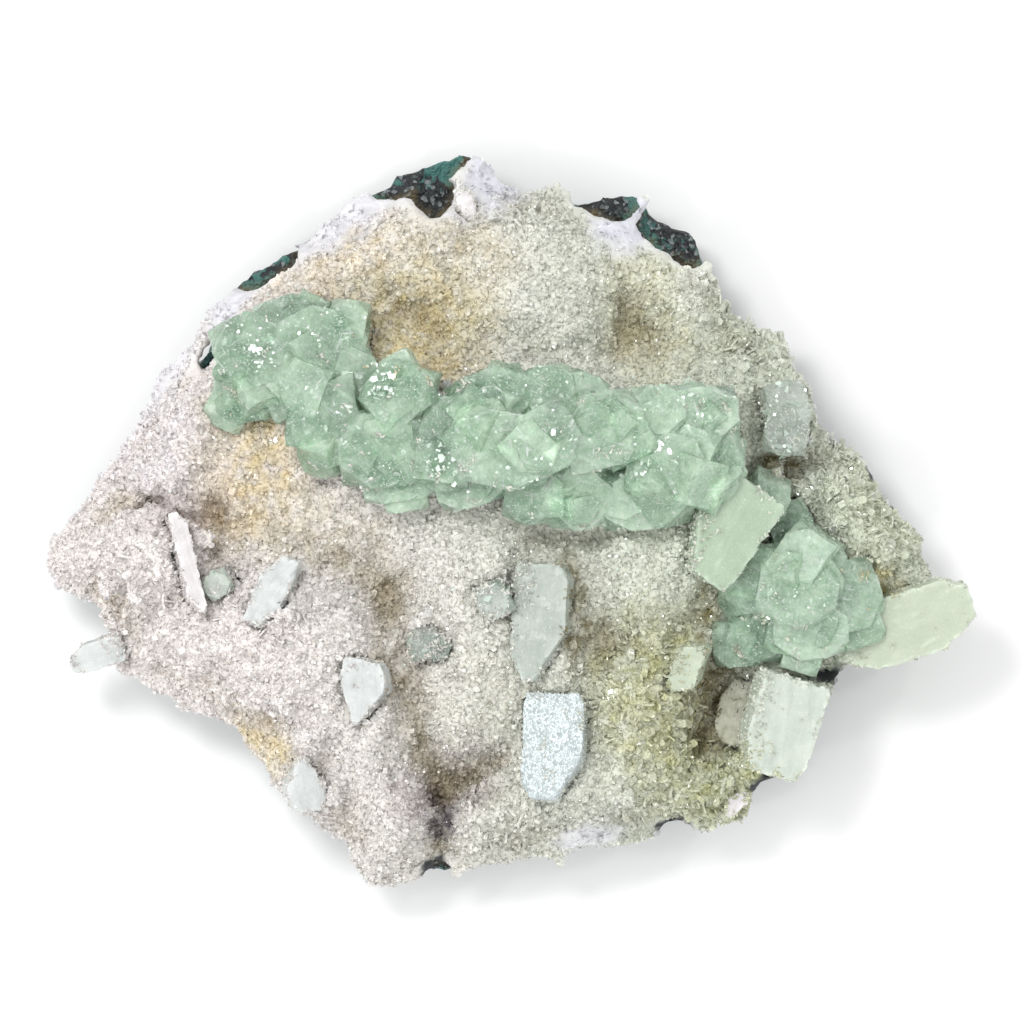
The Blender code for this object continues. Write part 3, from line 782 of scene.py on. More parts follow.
@dataclass(frozen=True)
class MosaicFinish(Finish):
    """The white plate: a cleavage face broken into a mosaic of small mirrors."""

    tile: tuple[float, float, float] = (2.7, 1.8, 2.7)
    bright: str = "#dfe8ea"
    dull: str = "#a3adab"

    def inputs(self, add: AddNode) -> dict[str, Any]:
        """Small tiles, each with a tone and a gloss of its own.

        Args:
            add: Adds a node to the material's tree.

        Returns:
            The shader's inputs.
        """
        lie = add("ShaderNodeAttribute", {}, "Vector", attribute_name="lie")
        tiled = add("ShaderNodeMapping", {"Vector": lie, "Scale": self.tile})
        tiles = {"Vector": tiled, "Scale": 1.0}
        tone = add("ShaderNodeSeparateColor", {0: add("ShaderNodeTexVoronoi", tiles, "Color")})
        seams = add("ShaderNodeTexVoronoi", tiles, "Distance", feature="DISTANCE_TO_EDGE")
        inner = add("ShaderNodeMapRange", {0: seams, 1: 0.02, 2: 0.14})
        both = add("ShaderNodeMath", {0: tone, 1: inner}, operation="MULTIPLY")
        share = add("ShaderNodeMapRange", {0: both, 1: 0.05, 2: 0.5})
        tones = {0: share, 6: self.dull, 7: self.bright}
        steps = {"Height": both, "Strength": 0.25, "Distance": 0.0002}
        return {
            "Base Color": add("ShaderNodeMix", tones, 2, data_type="RGBA"),
            "Roughness": add("ShaderNodeMapRange", {0: both, 3: 0.55, 4: 0.2}),
            "Normal": add("ShaderNodeBump", steps, "Normal"),
            "IOR": ZEOLITE_IOR,
        }


@dataclass(frozen=True)
class FlakeFinish(Finish):
    """Cleavage flakes of apophyllite: thin, pearly and bright."""

    transmission: float = 0.4

    def inputs(self, add: AddNode) -> dict[str, Any]:
        """One glossy, half clear tone under a pearly coat.

        Args:
            add: Adds a node to the material's tree.

        Returns:
            The shader's inputs.
        """
        return {
            "Base Color": "#e3f1e4",
            "Roughness": 0.1,
            "IOR": 1.55,
            "Transmission Weight": self.transmission,
            "Coat Weight": 0.6,
            "Coat Roughness": 0.08,
        }


@dataclass(frozen=True)
class BasaltFinish(Finish):
    """Basalt: near black, with skins of blue-green celadonite and rusty brown edges."""

    rock: str = "#34383a"
    dark: str = "#17191b"
    fleck: str = "#9aa2a2"
    celadonite: str = "#41716a"
    rust: str = "#8a7a52"
    fleck_mm: float = 0.7
    grain_mm: float = 1.4
    skin_mm: float = 9.0

    def inputs(self, add: AddNode) -> dict[str, Any]:
        """Three patterns of different sizes: grains, flecks and skins.

        Args:
            add: Adds a node to the material's tree.

        Returns:
            The shader's inputs.
        """
        place = add("ShaderNodeTexCoord", {}, "Object")
        rim = add("ShaderNodeAttribute", {}, "Fac", attribute_name="rim")
        fine = add("ShaderNodeTexNoise", at(place, self.grain_mm, Detail=8.0), "Fac")
        broad = add("ShaderNodeTexNoise", at(place, self.skin_mm, Detail=4.0), "Fac")
        grey = add("ShaderNodeMix", {0: fine, 6: self.dark, 7: self.rock}, 2, data_type="RGBA")
        flecks = add("ShaderNodeTexVoronoi", at(place, self.fleck_mm), "Color")
        chance = add("ShaderNodeSeparateColor", {0: flecks})
        flecked = add("ShaderNodeMapRange", {0: chance, 1: 0.8, 2: 0.95, 3: 0.0, 4: 0.7})
        grey = add("ShaderNodeMix", {0: flecked, 6: grey, 7: self.fleck}, 2, data_type="RGBA")
        ragged = add("ShaderNodeMath", {0: fine, 1: 0.5, 2: broad}, operation="MULTIPLY_ADD")
        skin = add("ShaderNodeMapRange", {0: ragged, 1: 0.77, 2: 0.83})
        green = add("ShaderNodeMix", {0: skin, 6: grey, 7: self.celadonite}, 2, data_type="RGBA")
        rusty = add("ShaderNodeMath", {0: rim, 1: fine}, operation="MULTIPLY")
        bumps = {0: flecks.node.outputs["Distance"], 1: 0.5, 2: fine}
        height = add("ShaderNodeMath", bumps, operation="MULTIPLY_ADD")
        broken = {"Height": height, "Strength": 1.0, "Distance": 0.0008}
        return {
            "Base Color": add("ShaderNodeMix", {0: rusty, 6: green, 7: self.rust}, 2, data_type="RGBA"),
            "Normal": add("ShaderNodeBump", broken, "Normal"),
            "Roughness": 0.62,
        }


@dataclass(frozen=True)
class PaperFinish(Finish):
    """The studio's matt white paper floor."""

    def inputs(self, add: AddNode) -> dict[str, Any]:
        """One plain matt tone."""
        return {"Base Color": "#f7f7f5", "Roughness": 0.9}


class Habit(Enum):
    """The shapes that small crystals take."""

    GRAIN = "grain"
    COFFIN = "coffin"
    BLADE = "blade"
    SQUARE = "square"
    FLAKE = "flake"


@dataclass
class SmallCrystals:
    """The patterns that scattered crystals are copied from: one millimetre long each."""

    habit: Habit
    count: int = 6
    seed: int = 3

    def pointed(self, rng: random.Random, wide: float, thick: float, root: float) -> bmesh.types.BMesh:
        """A flat crystal with a pointed end, standing on its root.

        Args:
            rng: The source of its small differences.
            wide: Its width, as a share of its length.
            thick: Its thickness, as a share of its length.
            root: How much of it is below the surface, as a share of its length.

        Returns:
            The closed shape.
        """
        planes = []
        for side in (-1, 1):
            slope = math.radians(rng.uniform(35, 65))
            facing = Vector((side * math.sin(slope), 0, math.cos(slope)))
            reach = rng.uniform(0.1, 0.3)
            planes.append((facing, Vector((side * reach * wide, 0, 0.5)).dot(facing)))
        bm = MeshKit.cut_block((wide, thick, 1.0), planes)
        bmesh.ops.translate(bm, vec=(0, 0, 0.5 - root), verts=bm.verts)
        return bm

    def grain(self, rng: random.Random) -> bmesh.types.BMesh:
        """A wedge of five faces, the least that still looks like a crystal's tip.

        Args:
            rng: The source of its small differences.

        Returns:
            The closed shape.
        """
        wide, thick = rng.uniform(0.55, 0.85), rng.uniform(0.35, 0.6)
        ridge = wide * rng.uniform(0.2, 0.4)
        bm = bmesh.new()
        corners = ((-1, -1), (1, -1), (1, 1), (-1, 1))
        a, b, c, d = (bm.verts.new((x * wide / 2, y * thick / 2, -0.5)) for x, y in corners)
        lean = rng.uniform(-0.4, 0.4) * thick
        left, right = (bm.verts.new((side * ridge, lean, 0.5)) for side in (-1, 1))
        for face in ((a, b, right, left), (c, d, left, right), (b, c, right), (d, a, left), (d, c, b, a)):
            bm.faces.new(face)
        return bm

    def square(self, rng: random.Random) -> bmesh.types.BMesh:
        """A squarish block with its upper corners cut.

        Args:
            rng: The source of its small differences.

        Returns:
            The closed shape.
        """
        sizes = (rng.uniform(0.8, 1.1), rng.uniform(0.7, 1.0), 0.8)
        planes = []
        for side_x in (-1, 1):
            for side_y in (-1, 1):
                facing = Vector((side_x, side_y, rng.uniform(0.9, 1.3))).normalized()
                corner = Vector((side_x * sizes[0], side_y * sizes[1], sizes[2])) / 2
                planes.append((facing, corner.dot(facing) - rng.uniform(0.03, 0.2)))
        return MeshKit.cut_block(sizes, planes)

    def flake(self, rng: random.Random) -> bmesh.types.BMesh:
        """A thin angular splinter of cleavage.

        Args:
            rng: The source of its small differences.

        Returns:
            The closed shape.
        """
        bm = bmesh.new()
        corners = rng.randint(4, 6)
        bmesh.ops.create_cone(bm, cap_ends=True, segments=corners, radius1=0.5, radius2=0.46, depth=0.05)
        for corner in range(corners):
            out = rng.uniform(0.5, 1.15)
            angle = 2 * math.pi * corner / corners
            for vert in bm.verts:
                beside = math.atan2(vert.co.y, vert.co.x) - angle
                if abs(math.remainder(beside, 2 * math.pi)) < 0.3:
                    vert.co.xy = vert.co.xy * out
        bmesh.ops.scale(bm, vec=(1.0, rng.uniform(0.4, 0.8), 1.0), verts=bm.verts)
        return bm

    def shape(self, rng: random.Random) -> bmesh.types.BMesh:
        """One pattern of the habit.

        Args:
            rng: The source of its small differences.

        Returns:
            The closed shape.
        """
        if self.habit is Habit.COFFIN:
            return self.pointed(rng, rng.uniform(0.5, 0.75), rng.uniform(0.35, 0.55), 0.35)
        if self.habit is Habit.BLADE:
            return self.pointed(rng, rng.uniform(0.34, 0.5), rng.uniform(0.1, 0.16), 0.25)
        return {Habit.GRAIN: self.grain, Habit.SQUARE: self.square, Habit.FLAKE: self.flake}[self.habit](rng)

    def shapes(self) -> bpy.types.Collection:
        """Makes the patterns.

        Returns:
            A collection of them that isn't in the scene.
        """
        rng = random.Random(self.seed)
        collection = bpy.data.collections.new(f"{self.habit.value}_patterns")
        for index in range(self.count):
            obj = MeshKit.add(f"{self.habit.value}_{index}", self.shape(rng))
            bpy.context.scene.collection.objects.unlink(obj)
            collection.objects.link(obj)
        return collection


@dataclass(frozen=True)
class Growth:
    """How one habit of small crystal covers a surface.

    where names the attribute that thins it out. Lengths are in millimetres, density is
    in crystals a square millimetre at most, and tilt is in degrees.
    """

    where: str
    spacing: float
    density: float
    least: float
    greatest: float
    tilt: float
    sink: float = 0.0
    seed: int = 1
    from_x: float = -200.0
    to_x: float = 200.0


class GrowthTree:
    """The Geometry Nodes tree that grows small crystals out of a surface."""

    SOCKETS = {
        "Geometry": "Geometry",
        "Where": "String",
        "Spacing": "Float",
        "Density": "Float",
        "Least": "Float",
        "Greatest": "Float",
        "Tilt": "Float",
        "Sink": "Float",
        "Seed": "Int",
        "From X": "Float",
        "To X": "Float",
        "Crystals": "Collection",
        "Finish": "Material",
    }

    def __init__(self) -> None:
        """Builds the tree once, for every growth to share."""
        self.tree = bpy.data.node_groups.new("grow_on_surface", "GeometryNodeTree")
        self.ids: dict[str, str] = {}
        for name, kind in self.SOCKETS.items():
            socket = self.tree.interface.new_socket(
                name=name, in_out="INPUT", socket_type="NodeSocket" + kind
            )
            self.ids[name] = socket.identifier
        self.tree.interface.new_socket(name="Geometry", in_out="OUTPUT", socket_type="NodeSocketGeometry")
        self.wire()

    def wire(self) -> None:
        """Links the nodes: points on faces, leaned copies, a tone for each, a finish."""
        add = partial(add_node, self.tree)
        given = self.tree.nodes.new("NodeGroupInput").outputs
        seed = given["Seed"]
        share = add("GeometryNodeInputNamedAttribute", {"Name": given["Where"]}, data_type="FLOAT")
        x = add("ShaderNodeSeparateXYZ", {0: add("GeometryNodeInputPosition", {})})
        right_of = add("ShaderNodeMath", {0: x, 1: given["From X"]}, operation="GREATER_THAN")
        left_of = add("ShaderNodeMath", {0: x, 1: given["To X"]}, operation="LESS_THAN")
        inside = add("ShaderNodeMath", {0: right_of, 1: left_of}, operation="MULTIPLY")
        spread = {
            "Mesh": given["Geometry"],
            "Distance Min": given["Spacing"],
            "Density Max": given["Density"],
            "Density Factor": add("ShaderNodeMath", {0: share, 1: inside}, operation="MULTIPLY"),
            "Seed": seed,
        }
        points = add("GeometryNodeDistributePointsOnFaces", spread, "Points", distribute_method="POISSON")
        normal, facing = points.node.outputs["Normal"], points.node.outputs["Rotation"]
        tilt = given["Tilt"]
        back = add("ShaderNodeMath", {0: tilt, 1: -1.0}, operation="MULTIPLY")
        low = add("ShaderNodeCombineXYZ", {0: back, 1: back, 2: 0.0})
        high = add("ShaderNodeCombineXYZ", {0: tilt, 1: tilt, 2: 6.2832})
        lean = add("FunctionNodeRandomValue", {0: low, 1: high, "Seed": seed}, data_type="FLOAT_VECTOR")
        leaned = {0: facing, 1: add("FunctionNodeEulerToRotation", {0: lean})}
        sizes = {2: given["Least"], 3: given["Greatest"], "Seed": seed}
        inward = add("ShaderNodeVectorMath", {0: normal, "Scale": given["Sink"]}, operation="SCALE")
        patterns = {"Collection": given["Crystals"], "Separate Children": True, "Reset Children": True}
        copies = add(
            "GeometryNodeInstanceOnPoints",
            {
                "Points": add("GeometryNodeSetPosition", {"Geometry": points, "Offset": inward}),
                "Instance": add("GeometryNodeCollectionInfo", patterns),
                "Pick Instance": True,
                "Rotation": add("FunctionNodeRotateRotation", leaned, rotation_space="LOCAL"),
                "Scale": add("FunctionNodeRandomValue", sizes, 1, data_type="FLOAT"),
            },
        )
        tone = add("FunctionNodeRandomValue", {2: 0.0, 3: 1.0, "Seed": 77}, 1, data_type="FLOAT")
        for name in ("tone", "facet"):
            stored = {"Geometry": copies, "Name": name, "Value": tone}
            copies = add("GeometryNodeStoreNamedAttribute", stored, data_type="FLOAT", domain="INSTANCE")
        solid = add("GeometryNodeRealizeInstances", {"Geometry": copies})
        done = add("GeometryNodeSetMaterial", {"Geometry": solid, "Material": given["Finish"]})
        fill(self.tree, self.tree.nodes.new("NodeGroupOutput"), {0: done})

    def grow(
        self,
        name: str,
        host: bpy.types.Object,
        growth: Growth,
        shapes: bpy.types.Collection,
        finish: bpy.types.Material,
    ) -> bpy.types.Object:
        """Grows crystals on a surface and keeps them as a plain mesh.

        Args:
            name: The new piece's name.
            host: The surface, with the attribute that the growth reads.
            growth: How thick, how large and how tilted they grow.
            shapes: The patterns to copy.
            finish: Their material.

        Returns:
            The piece, at the origin.
        """
        modifier = host.modifiers.new(name, "NODES")
        modifier.node_group = self.tree
        values = {
            "Where": growth.where,
            "Spacing": growth.spacing * MM,
            "Density": growth.density / (MM * MM),
            "Least": growth.least,
            "Greatest": growth.greatest,
            "Tilt": math.radians(growth.tilt),
            "Sink": -growth.sink * MM,
            "Seed": growth.seed,
            "From X": growth.from_x * MM,
            "To X": growth.to_x * MM,
            "Crystals": shapes,
            "Finish": finish,
        }
        for key, value in values.items():
            modifier[self.ids[key]] = value
        host.update_tag()
        mesh = MeshKit.evaluated(host)
        host.modifiers.remove(modifier)
        mesh.name = name
        return MeshKit.link(name, mesh)


class Specimen:
    """What the sub-assemblies share: the nodes, the box to stay in, and the growth tree."""

    CLIMBING = Growth("druse", 0.43, 3.5, 0.65, 1.25, 50, 0.1)
    OVERHANG = -0.2
    UNEVEN_MM = 2.6

    def __init__(self, frame: dict[str, Any]) -> None:
        """Keeps the frame's nodes and its bounds.
        """
        self.nodes: dict[str, bpy.types.Object] = frame["nodes"]
        self.low, self.high = (np.array(corner, float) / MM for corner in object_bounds())
        self.growths = GrowthTree()
        ground = ("basalt_matrix", "heulandite_crust")
        self.crystals = MeshKit.tree_of(obj for name, obj in self.nodes.items() if name not in ground)
        self.crust = MeshKit.tree_of([self.nodes["heulandite_crust"]])
        self.grains = SmallCrystals(Habit.GRAIN, 10, 2).shapes()
        self.druse = DruseFinish("heulandite_crystal").make()

    def bury(self, crystal: bpy.types.Object, band: float = 2.2) -> None:
        """Notes how near a clear crystal's points are to the crust, which tints its foot.

        Args:
            crystal: The crystal.
            band: How far up the crust's colour shows through it.
        """
        points = MeshKit.points(crystal)
        MeshKit.store(crystal, "foot", smooth(1 - distance_to(self.crust, points, band) / band))
        MeshKit.store(crystal, "ground", Crust().tint_of(points), Store.COLOUR)

    def overgrow(
        self,
        crystal: bpy.types.Object,
        near: np.ndarray,
        band: float,
        ragged: float,
        patches: tuple[Patch, ...],
        seed: int,
    ) -> None:
        """Lets the druse climb onto a big crystal: round its foot, along edges and in patches.

        Args:
            crystal: The crystal.
            near: How close each of its points is to a sharp edge.
            band: How far up from the crust the druse climbs.
            ragged: How much of the edges it covers, from 0 to 1.
            patches: Where else it grows.
            seed: The source of its chances.
        """
        points, facing = MeshKit.points(crystal), MeshKit.normals(crystal)[:, 2]
        covered = np.zeros(len(points))
        for index, point in enumerate(points):
            place = Vector(point)
            if facing[index] < self.OVERHANG or self.crust.ray_cast(place + UP * 0.2, UP)[0] is not None:
                continue
            away = self.crust.find_nearest(place, 2 * band)[3]
            foot = 0.0 if away is None else min(1.0, 2 - away / band)
            chance = 0.5 + 0.9 * noise.noise(place / self.UNEVEN_MM)
            covered[index] = max(foot, min(1.0, (near[index] * ragged - chance) * 6 + 1))
        for patch in patches:
            covered = np.maximum(covered, patch.weight(points[:, 0], points[:, 1]))
        MeshKit.store(crystal, "druse", np.clip(covered, 0, 1) * (facing > self.OVERHANG))
        MeshKit.store(crystal, "tint", Crust().tint_of(points), Store.COLOUR)
        growth = replace(self.CLIMBING, seed=seed)
        cover = self.growths.grow(crystal.name + "_druse", crystal, growth, self.grains, self.druse)
        if len(cover.data.polygons) > 0:
            self.place(cover, "heulandite")
        else:
            bpy.data.objects.remove(cover)

    def place(self, obj: bpy.types.Object, slot: str, *nodes: str) -> None:
        """Keeps a finished piece inside the solids' box, and gives it what it rides and stands for.

        Args:
            obj: The piece.
            slot: Not used.
            nodes: The nodes it stands for.
        """
        MeshKit.move_points(obj, np.clip(MeshKit.points(obj), self.low, self.high))
        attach(obj, BODY)
        if nodes:
            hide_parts(*nodes)
        LOG.info("%s: %d faces", obj.name, len(obj.data.polygons))


@dataclass
class Basalt:
    """The slab of basalt under the crust."""

    voxel: float = 1.45
    rough: float = 0.9
    foot: float = 1.5
    rim_width: float = 1.8

    def build(self, specimen: Specimen) -> None:
        """Roughens the slab, all but its flat foot.

        Args:
            specimen: What it is a part of.
        """
        rock = MeshKit.copy_node(specimen.nodes["basalt_matrix"], "basalt_rock")
        MeshKit.remesh(rock, self.voxel)
        points = MeshKit.points(rock)
        swells = noise_at(points, 4.0, noise.fractal, 0.7, 2.2, 4)
        push = self.rough * (swells - 0.6) - 0.5 * self.rough * np.abs(noise_at(points, 1.6))
        push *= smooth((points[:, 2] - 0.3) / self.foot)
        points += MeshKit.normals(rock) * push[:, None]
        MeshKit.move_points(rock, points)
        away = distance_to(specimen.crust, points, 4.0)
        MeshKit.store(rock, "rim", 1.6 * smooth(1 - away / self.rim_width))
        MeshKit.dress(rock, BasaltFinish("basalt_with_celadonite").make())
        specimen.place(rock, "basalt", "basalt_matrix")


@dataclass
class Crust:
    """The heulandite crust and the druse of small crystals that covers it."""

    voxel: float = 1.2
    swell: float = 0.8
    pitting: float = 0.35
    lumpiness: float = 0.7
    bare_margin: float = 0.1
    left_tint: str = "#f4eeea"
    right_tint: str = "#e2e6d6"
    # Painted shade for crevices and hollows: its colour, and the depth in millimetres at which it is
    # strongest.
    crevice_shade_tint: str = "#aa9f82"
    crevice_shade_depth: float = 10.0
    chalk_tint: str = "#e8e8ee"
    chalk_bare: float = 0.7

    stains_and_shade: tuple[Patch, ...] = (
        Patch(-33, 52, 16, 8, 25, 0.55, "#efe2c8"),
        Patch(-19, 40, 14, 10, 10, 0.7, "#e8dcb2"),
        Patch(-10, 52, 10, 8, 0, 0.4, "#ddd0ae"),
        Patch(-18, 31, 12, 5, 0, 0.55, "#dfd0a4"),
        Patch(28, 37, 8, 11, 0, 0.4, "#eae4c4"),
        Patch(38, 49, 6, 6, 0, 0.7, "#f4f4e8"),
        Patch(25, 50, 7, 6, 0, 0.25, "#dcd6b8"),
        Patch(-53, 10, 10, 14, 10, 0.6, "#f0deb0"),
        Patch(-40, -2, 14, 8, -20, 0.35, "#e0d6bc"),
        Patch(-64, 3, 10, 5, 0, 0.4, "#d6c4ba"),
        Patch(-70, 14, 14, 12, 0, 0.45, "#f2edf0"),
        Patch(-50, -46, 7, 5, -30, 0.6, "#f0e2b8"),
        Patch(-13, -53, 12, 7, 30, 0.45, "#b8aaae"),
        Patch(30, -36, 12, 18, 5, 0.6, "#d2d2a4"),
        Patch(44, -52, 12, 8, 10, 0.6, "#ccce9e"),
        Patch(72, -13, 6, 6, 0, 0.6, "#cfc084"),
        Patch(75, 2, 12, 10, -40, 0.4, "#dde3c6"),
        Patch(-4, -42, 12, 14, 0, 0.25, "#dedcca"),
        # Painted shade: the darker patches at (-21, -30), (12, -18), (-73, 3.2), (-66, 2.4), (-14.5, -58),
        # (54, 11), (39, -19), (41, -34) and (-23, -31) darken valleys, cracks, gaps and hollows where shade
        # falls; the other patches are the crust's own colours.
        Patch(-21, -30, 5, 10, 20, 0.4, "#c4baa6"),
        Patch(12, -18, 3, 12, 4, 0.75, "#8f8660"),
        Patch(-73, 3.2, 4, 0.9, 0, 0.9, "#6e5e54"),
        Patch(-66, 2.4, 2.6, 0.8, -10, 0.8, "#7a6a5e"),
        Patch(-14.5, -58, 2, 6, 10, 0.9, "#62565c"),
        Patch(54, 11, 5, 2.6, 10, 0.85, "#77704e"),
        Patch(39, -19, 2.4, 6, -10, 0.7, "#8f8a5c"),
        Patch(41, -34, 4.5, 12, -6, 0.7, "#8f8462"),
        Patch(64, -31, 3.4, 1.8, 15, 0.9, "#55524a"),
        Patch(-23, -31, 2.4, 5, 0, 0.6, "#94886e"),
    )
    chalk: tuple[Patch, ...] = (
        Patch(-34, 60, 17, 4.2, 29, 0.8),
        Patch(-56, 43.5, 8, 3.4, 52, 0.8),
        Patch(-3, 69, 6.5, 6.5, 0),
        Patch(-9, 63, 4, 4, 0, 0.6),
        Patch(23, 58, 6.5, 4.6, -10),
        Patch(25.4, 63, 3, 2.6, 0),
        Patch(-52, 48, 4, 3, 30, 0.8),
        Patch(16, -63, 7, 3, 8, 0.7),
        Patch(-74, 28, 4, 12, -30, 0.5),
        Patch(-68, 30, 3, 8, -35, 0.6),
    )
    bladed: tuple[Patch, ...] = (
        Patch(28, -37, 11, 17, 5),
        Patch(42, -53, 10, 7, 10),
        Patch(68, 4, 14, 10, -40, 0.8),
        Patch(48, 36, 8, 8, 0, 0.7),
        Patch(-44, -14, 12, 12, -15, 0.5),
        Patch(36, 50, 8, 10, 0, 0.5),
        Patch(6, 62, 12, 4, 0, 0.7),
        Patch(56, 30, 5, 8, 0, 0.7),
        Patch(-72, -12, 12, 10, 0, 0.4),
        Patch(10, -60, 20, 6, 5, 0.4),
    )
    chips: tuple[Patch, ...] = (
        Patch(-18, 69.6, 12, 3.6, 25),
        Patch(-16, 65.4, 4.6, 5.2, 0),
        Patch(18.6, 63.8, 7, 3.6, -15),
        Patch(32.4, 57, 8.8, 4.2, -35),
        Patch(-49.6, 50.8, 8.6, 3.2, 35),
        Patch(-60.6, 33.4, 5, 1.8, 55),
        Patch(-80.6, 12.2, 2.4, 1.2, 55),
        Patch(76, 6, 6.5, 1.5, -55),
        Patch(-14.8, -71, 2.8, 2.4, 0),
        Patch(33.4, -62, 3.6, 2.0, 10),
        Patch(51.6, -54, 3.8, 2.4, 40),
    )
    bare: tuple[Patch, ...] = (
        Patch(-14.8, -70.2, 2.8, 2.0, 0),
        Patch(33.4, -61.2, 3.4, 1.6, 10),
        Patch(51.4, -53.4, 3.2, 2.2, 40),
        Patch(64, -31, 2.6, 1.2, 15),
        Patch(75.6, 6.4, 5.0, 1.2, -55),
    )
    bare_tint: str = "#2f3335"
    bands: tuple[float, ...] = (-95.0, -46.0, -22.0, 0.0, 22.0, 46.0, 95.0)
    fine: Growth = Growth("druse", 0.42, 3.4, 0.85, 1.4, 50, 0.05, 11)
    middling: Growth = Growth("druse", 1.2, 0.33, 1.0, 1.8, 38, 0.2, 27)
    coarse: Growth = Growth("druse", 2.4, 0.05, 1.7, 2.7, 42, 0.4, 31)
    sprays: Growth = Growth("bladed", 1.2, 0.4, 1.9, 3.8, 55, 0.3, 41)

    def chalkiness(self, points: np.ndarray, normals: np.ndarray) -> np.ndarray:
        """Works out how chalky the crust is: all of it where its broken side shows.

        Args:
            points: The points.
            normals: How the crust faces at each.

        Returns:
            A share for each point.
        """
        wander = noise_at(points, 4.0, noise.noise_vector) * 2.5
        x, y = points[:, 0] + wander[:, 0], points[:, 1] + wander[:, 1]
        chalky = smooth((0.25 - normals[:, 2]) / 0.3) * 0.8
        return np.maximum.reduce([chalky, *(patch.weight(x, y) for patch in self.chalk)])

    def relief(self, rock: bpy.types.Object) -> None:
        """Swells and pits the crust's skin, and leaves its underside alone.

        Args:
            rock: The crust.
        """
        points, normals = MeshKit.points(rock), MeshKit.normals(rock)
        lumps = 1 - 2.2 * np.abs(noise_at(points, 2.6))
        push = self.swell * noise_at(points, 5.0, noise.fractal, 0.9, 2.1, 3)
        push += self.pitting * noise_at(points, 1.7)
        push += self.lumpiness * (lumps - 0.6) * self.chalkiness(points, normals)
        push *= smooth((normals[:, 2] + 0.6) / 0.7)
        points += normals * (push - 0.2)[:, None]
        MeshKit.move_points(rock, points)

    def depth_below(self, points: np.ndarray, cell: float = 1.5, spread: int = 6) -> np.ndarray:
        """How far each point lies below the face around it.

        Args:
            points: The points.
            cell: The width of the squares that heights are gathered in.
            spread: How many squares each way count as around.

        Returns:
            Millimetres below the mean height near by, and 0 above it and near the rim.
        """
        columns = ((points[:, :2] + 100) / cell).astype(int)
        size = int(200 / cell) + 2
        tops = np.zeros((size, size))
        np.maximum.at(tops, (columns[:, 0], columns[:, 1]), points[:, 2])
        near, count = np.zeros_like(tops), np.zeros_like(tops)
        for dx in range(-spread, spread + 1):
            for dy in range(-spread, spread + 1):
                moved = np.roll(tops, (dx, dy), (0, 1))
                near += moved
                count += moved > 0
        mean = near / np.maximum(count, 1)
        inside = smooth((count / (2 * spread + 1) ** 2 - 0.6) / 0.3)
        below = np.maximum(mean[columns[:, 0], columns[:, 1]] - points[:, 2], 0.0)
        return below * inside[columns[:, 0], columns[:, 1]]

    def tint_of(self, points: np.ndarray) -> np.ndarray:
        """Works out the crust's colour, its stains and its patches of painted shade.

        Args:
            points: The points.

        Returns:
            A linear colour for each point.
        """
        wander = noise_at(points, 7.0, noise.noise_vector) * 3.0
        x, y = points[:, 0] + wander[:, 0], points[:, 1] + wander[:, 1]
        tint = mixed(rgb(self.left_tint), rgb(self.right_tint), smooth((points[:, 0] + 60) / 110))
        mottle = noise_at(points, 2.3)
        # Painted shade: some of these patches darken valleys, cracks and hollows where shade falls; the rest
        # are the crust's own stains.
        for tint_patch in self.stains_and_shade:
            weight = np.clip(tint_patch.weight(x, y) * (1 + 1.2 * mottle), 0, 1)
            tint = mixed(tint, rgb(tint_patch.colour), weight)
        return tint

    def paint(self, rock: bpy.types.Object, crystals: BVHTree) -> None:
        """Stores the crust's tint, with painted shade in its crevices, and where each kind of crystal grows
        on it.

        Args:
            rock: The crust.
            crystals: A search tree over the big crystals, which keep the crust bare.
        """
        points, normals = MeshKit.points(rock), MeshKit.normals(rock)
        x, y = points[:, 0], points[:, 1]
        tint = self.tint_of(points)
        # Painted shade: points that lie below the face around them are darkened towards a dull tan, as shade
        # falls in crevices and hollows.
        sunk = smooth(self.depth_below(points) / self.crevice_shade_depth) * 0.85
        tint = mixed(tint, rgb(self.crevice_shade_tint) * tint * 1.5, sunk)
        chalky = self.chalkiness(points, normals)
        tint = mixed(tint, rgb(self.chalk_tint), chalky)
        near = distance_to(crystals, points, 3.0)
        open_face = smooth((near - self.bare_margin) / 0.3) * smooth((normals[:, 2] + 0.1) / 0.3)
        bladed = np.maximum.reduce([np.zeros(len(points)), *(patch.weight(x, y) for patch in self.bladed)])
        ragged = noise_at(points, 3.0, noise.noise_vector) * 1.4
        for chip in self.chips:
            open_face *= smooth((chip.reach(x, y) - 1.1) / 0.3)
        for chip in self.bare:
            rocky = smooth((1.25 - chip.reach(x + ragged[:, 0], y + ragged[:, 1])) / 0.2)
            open_face *= 1 - rocky
            tint = mixed(tint, rgb(self.bare_tint), rocky)
        open_face *= 1 - self.chalk_bare * smooth(chalky * 1.6)
        MeshKit.store(rock, "tint", np.clip(tint, 0, 1), Store.COLOUR)
        MeshKit.store(rock, "druse", open_face)
        MeshKit.store(rock, "bladed", open_face * bladed)

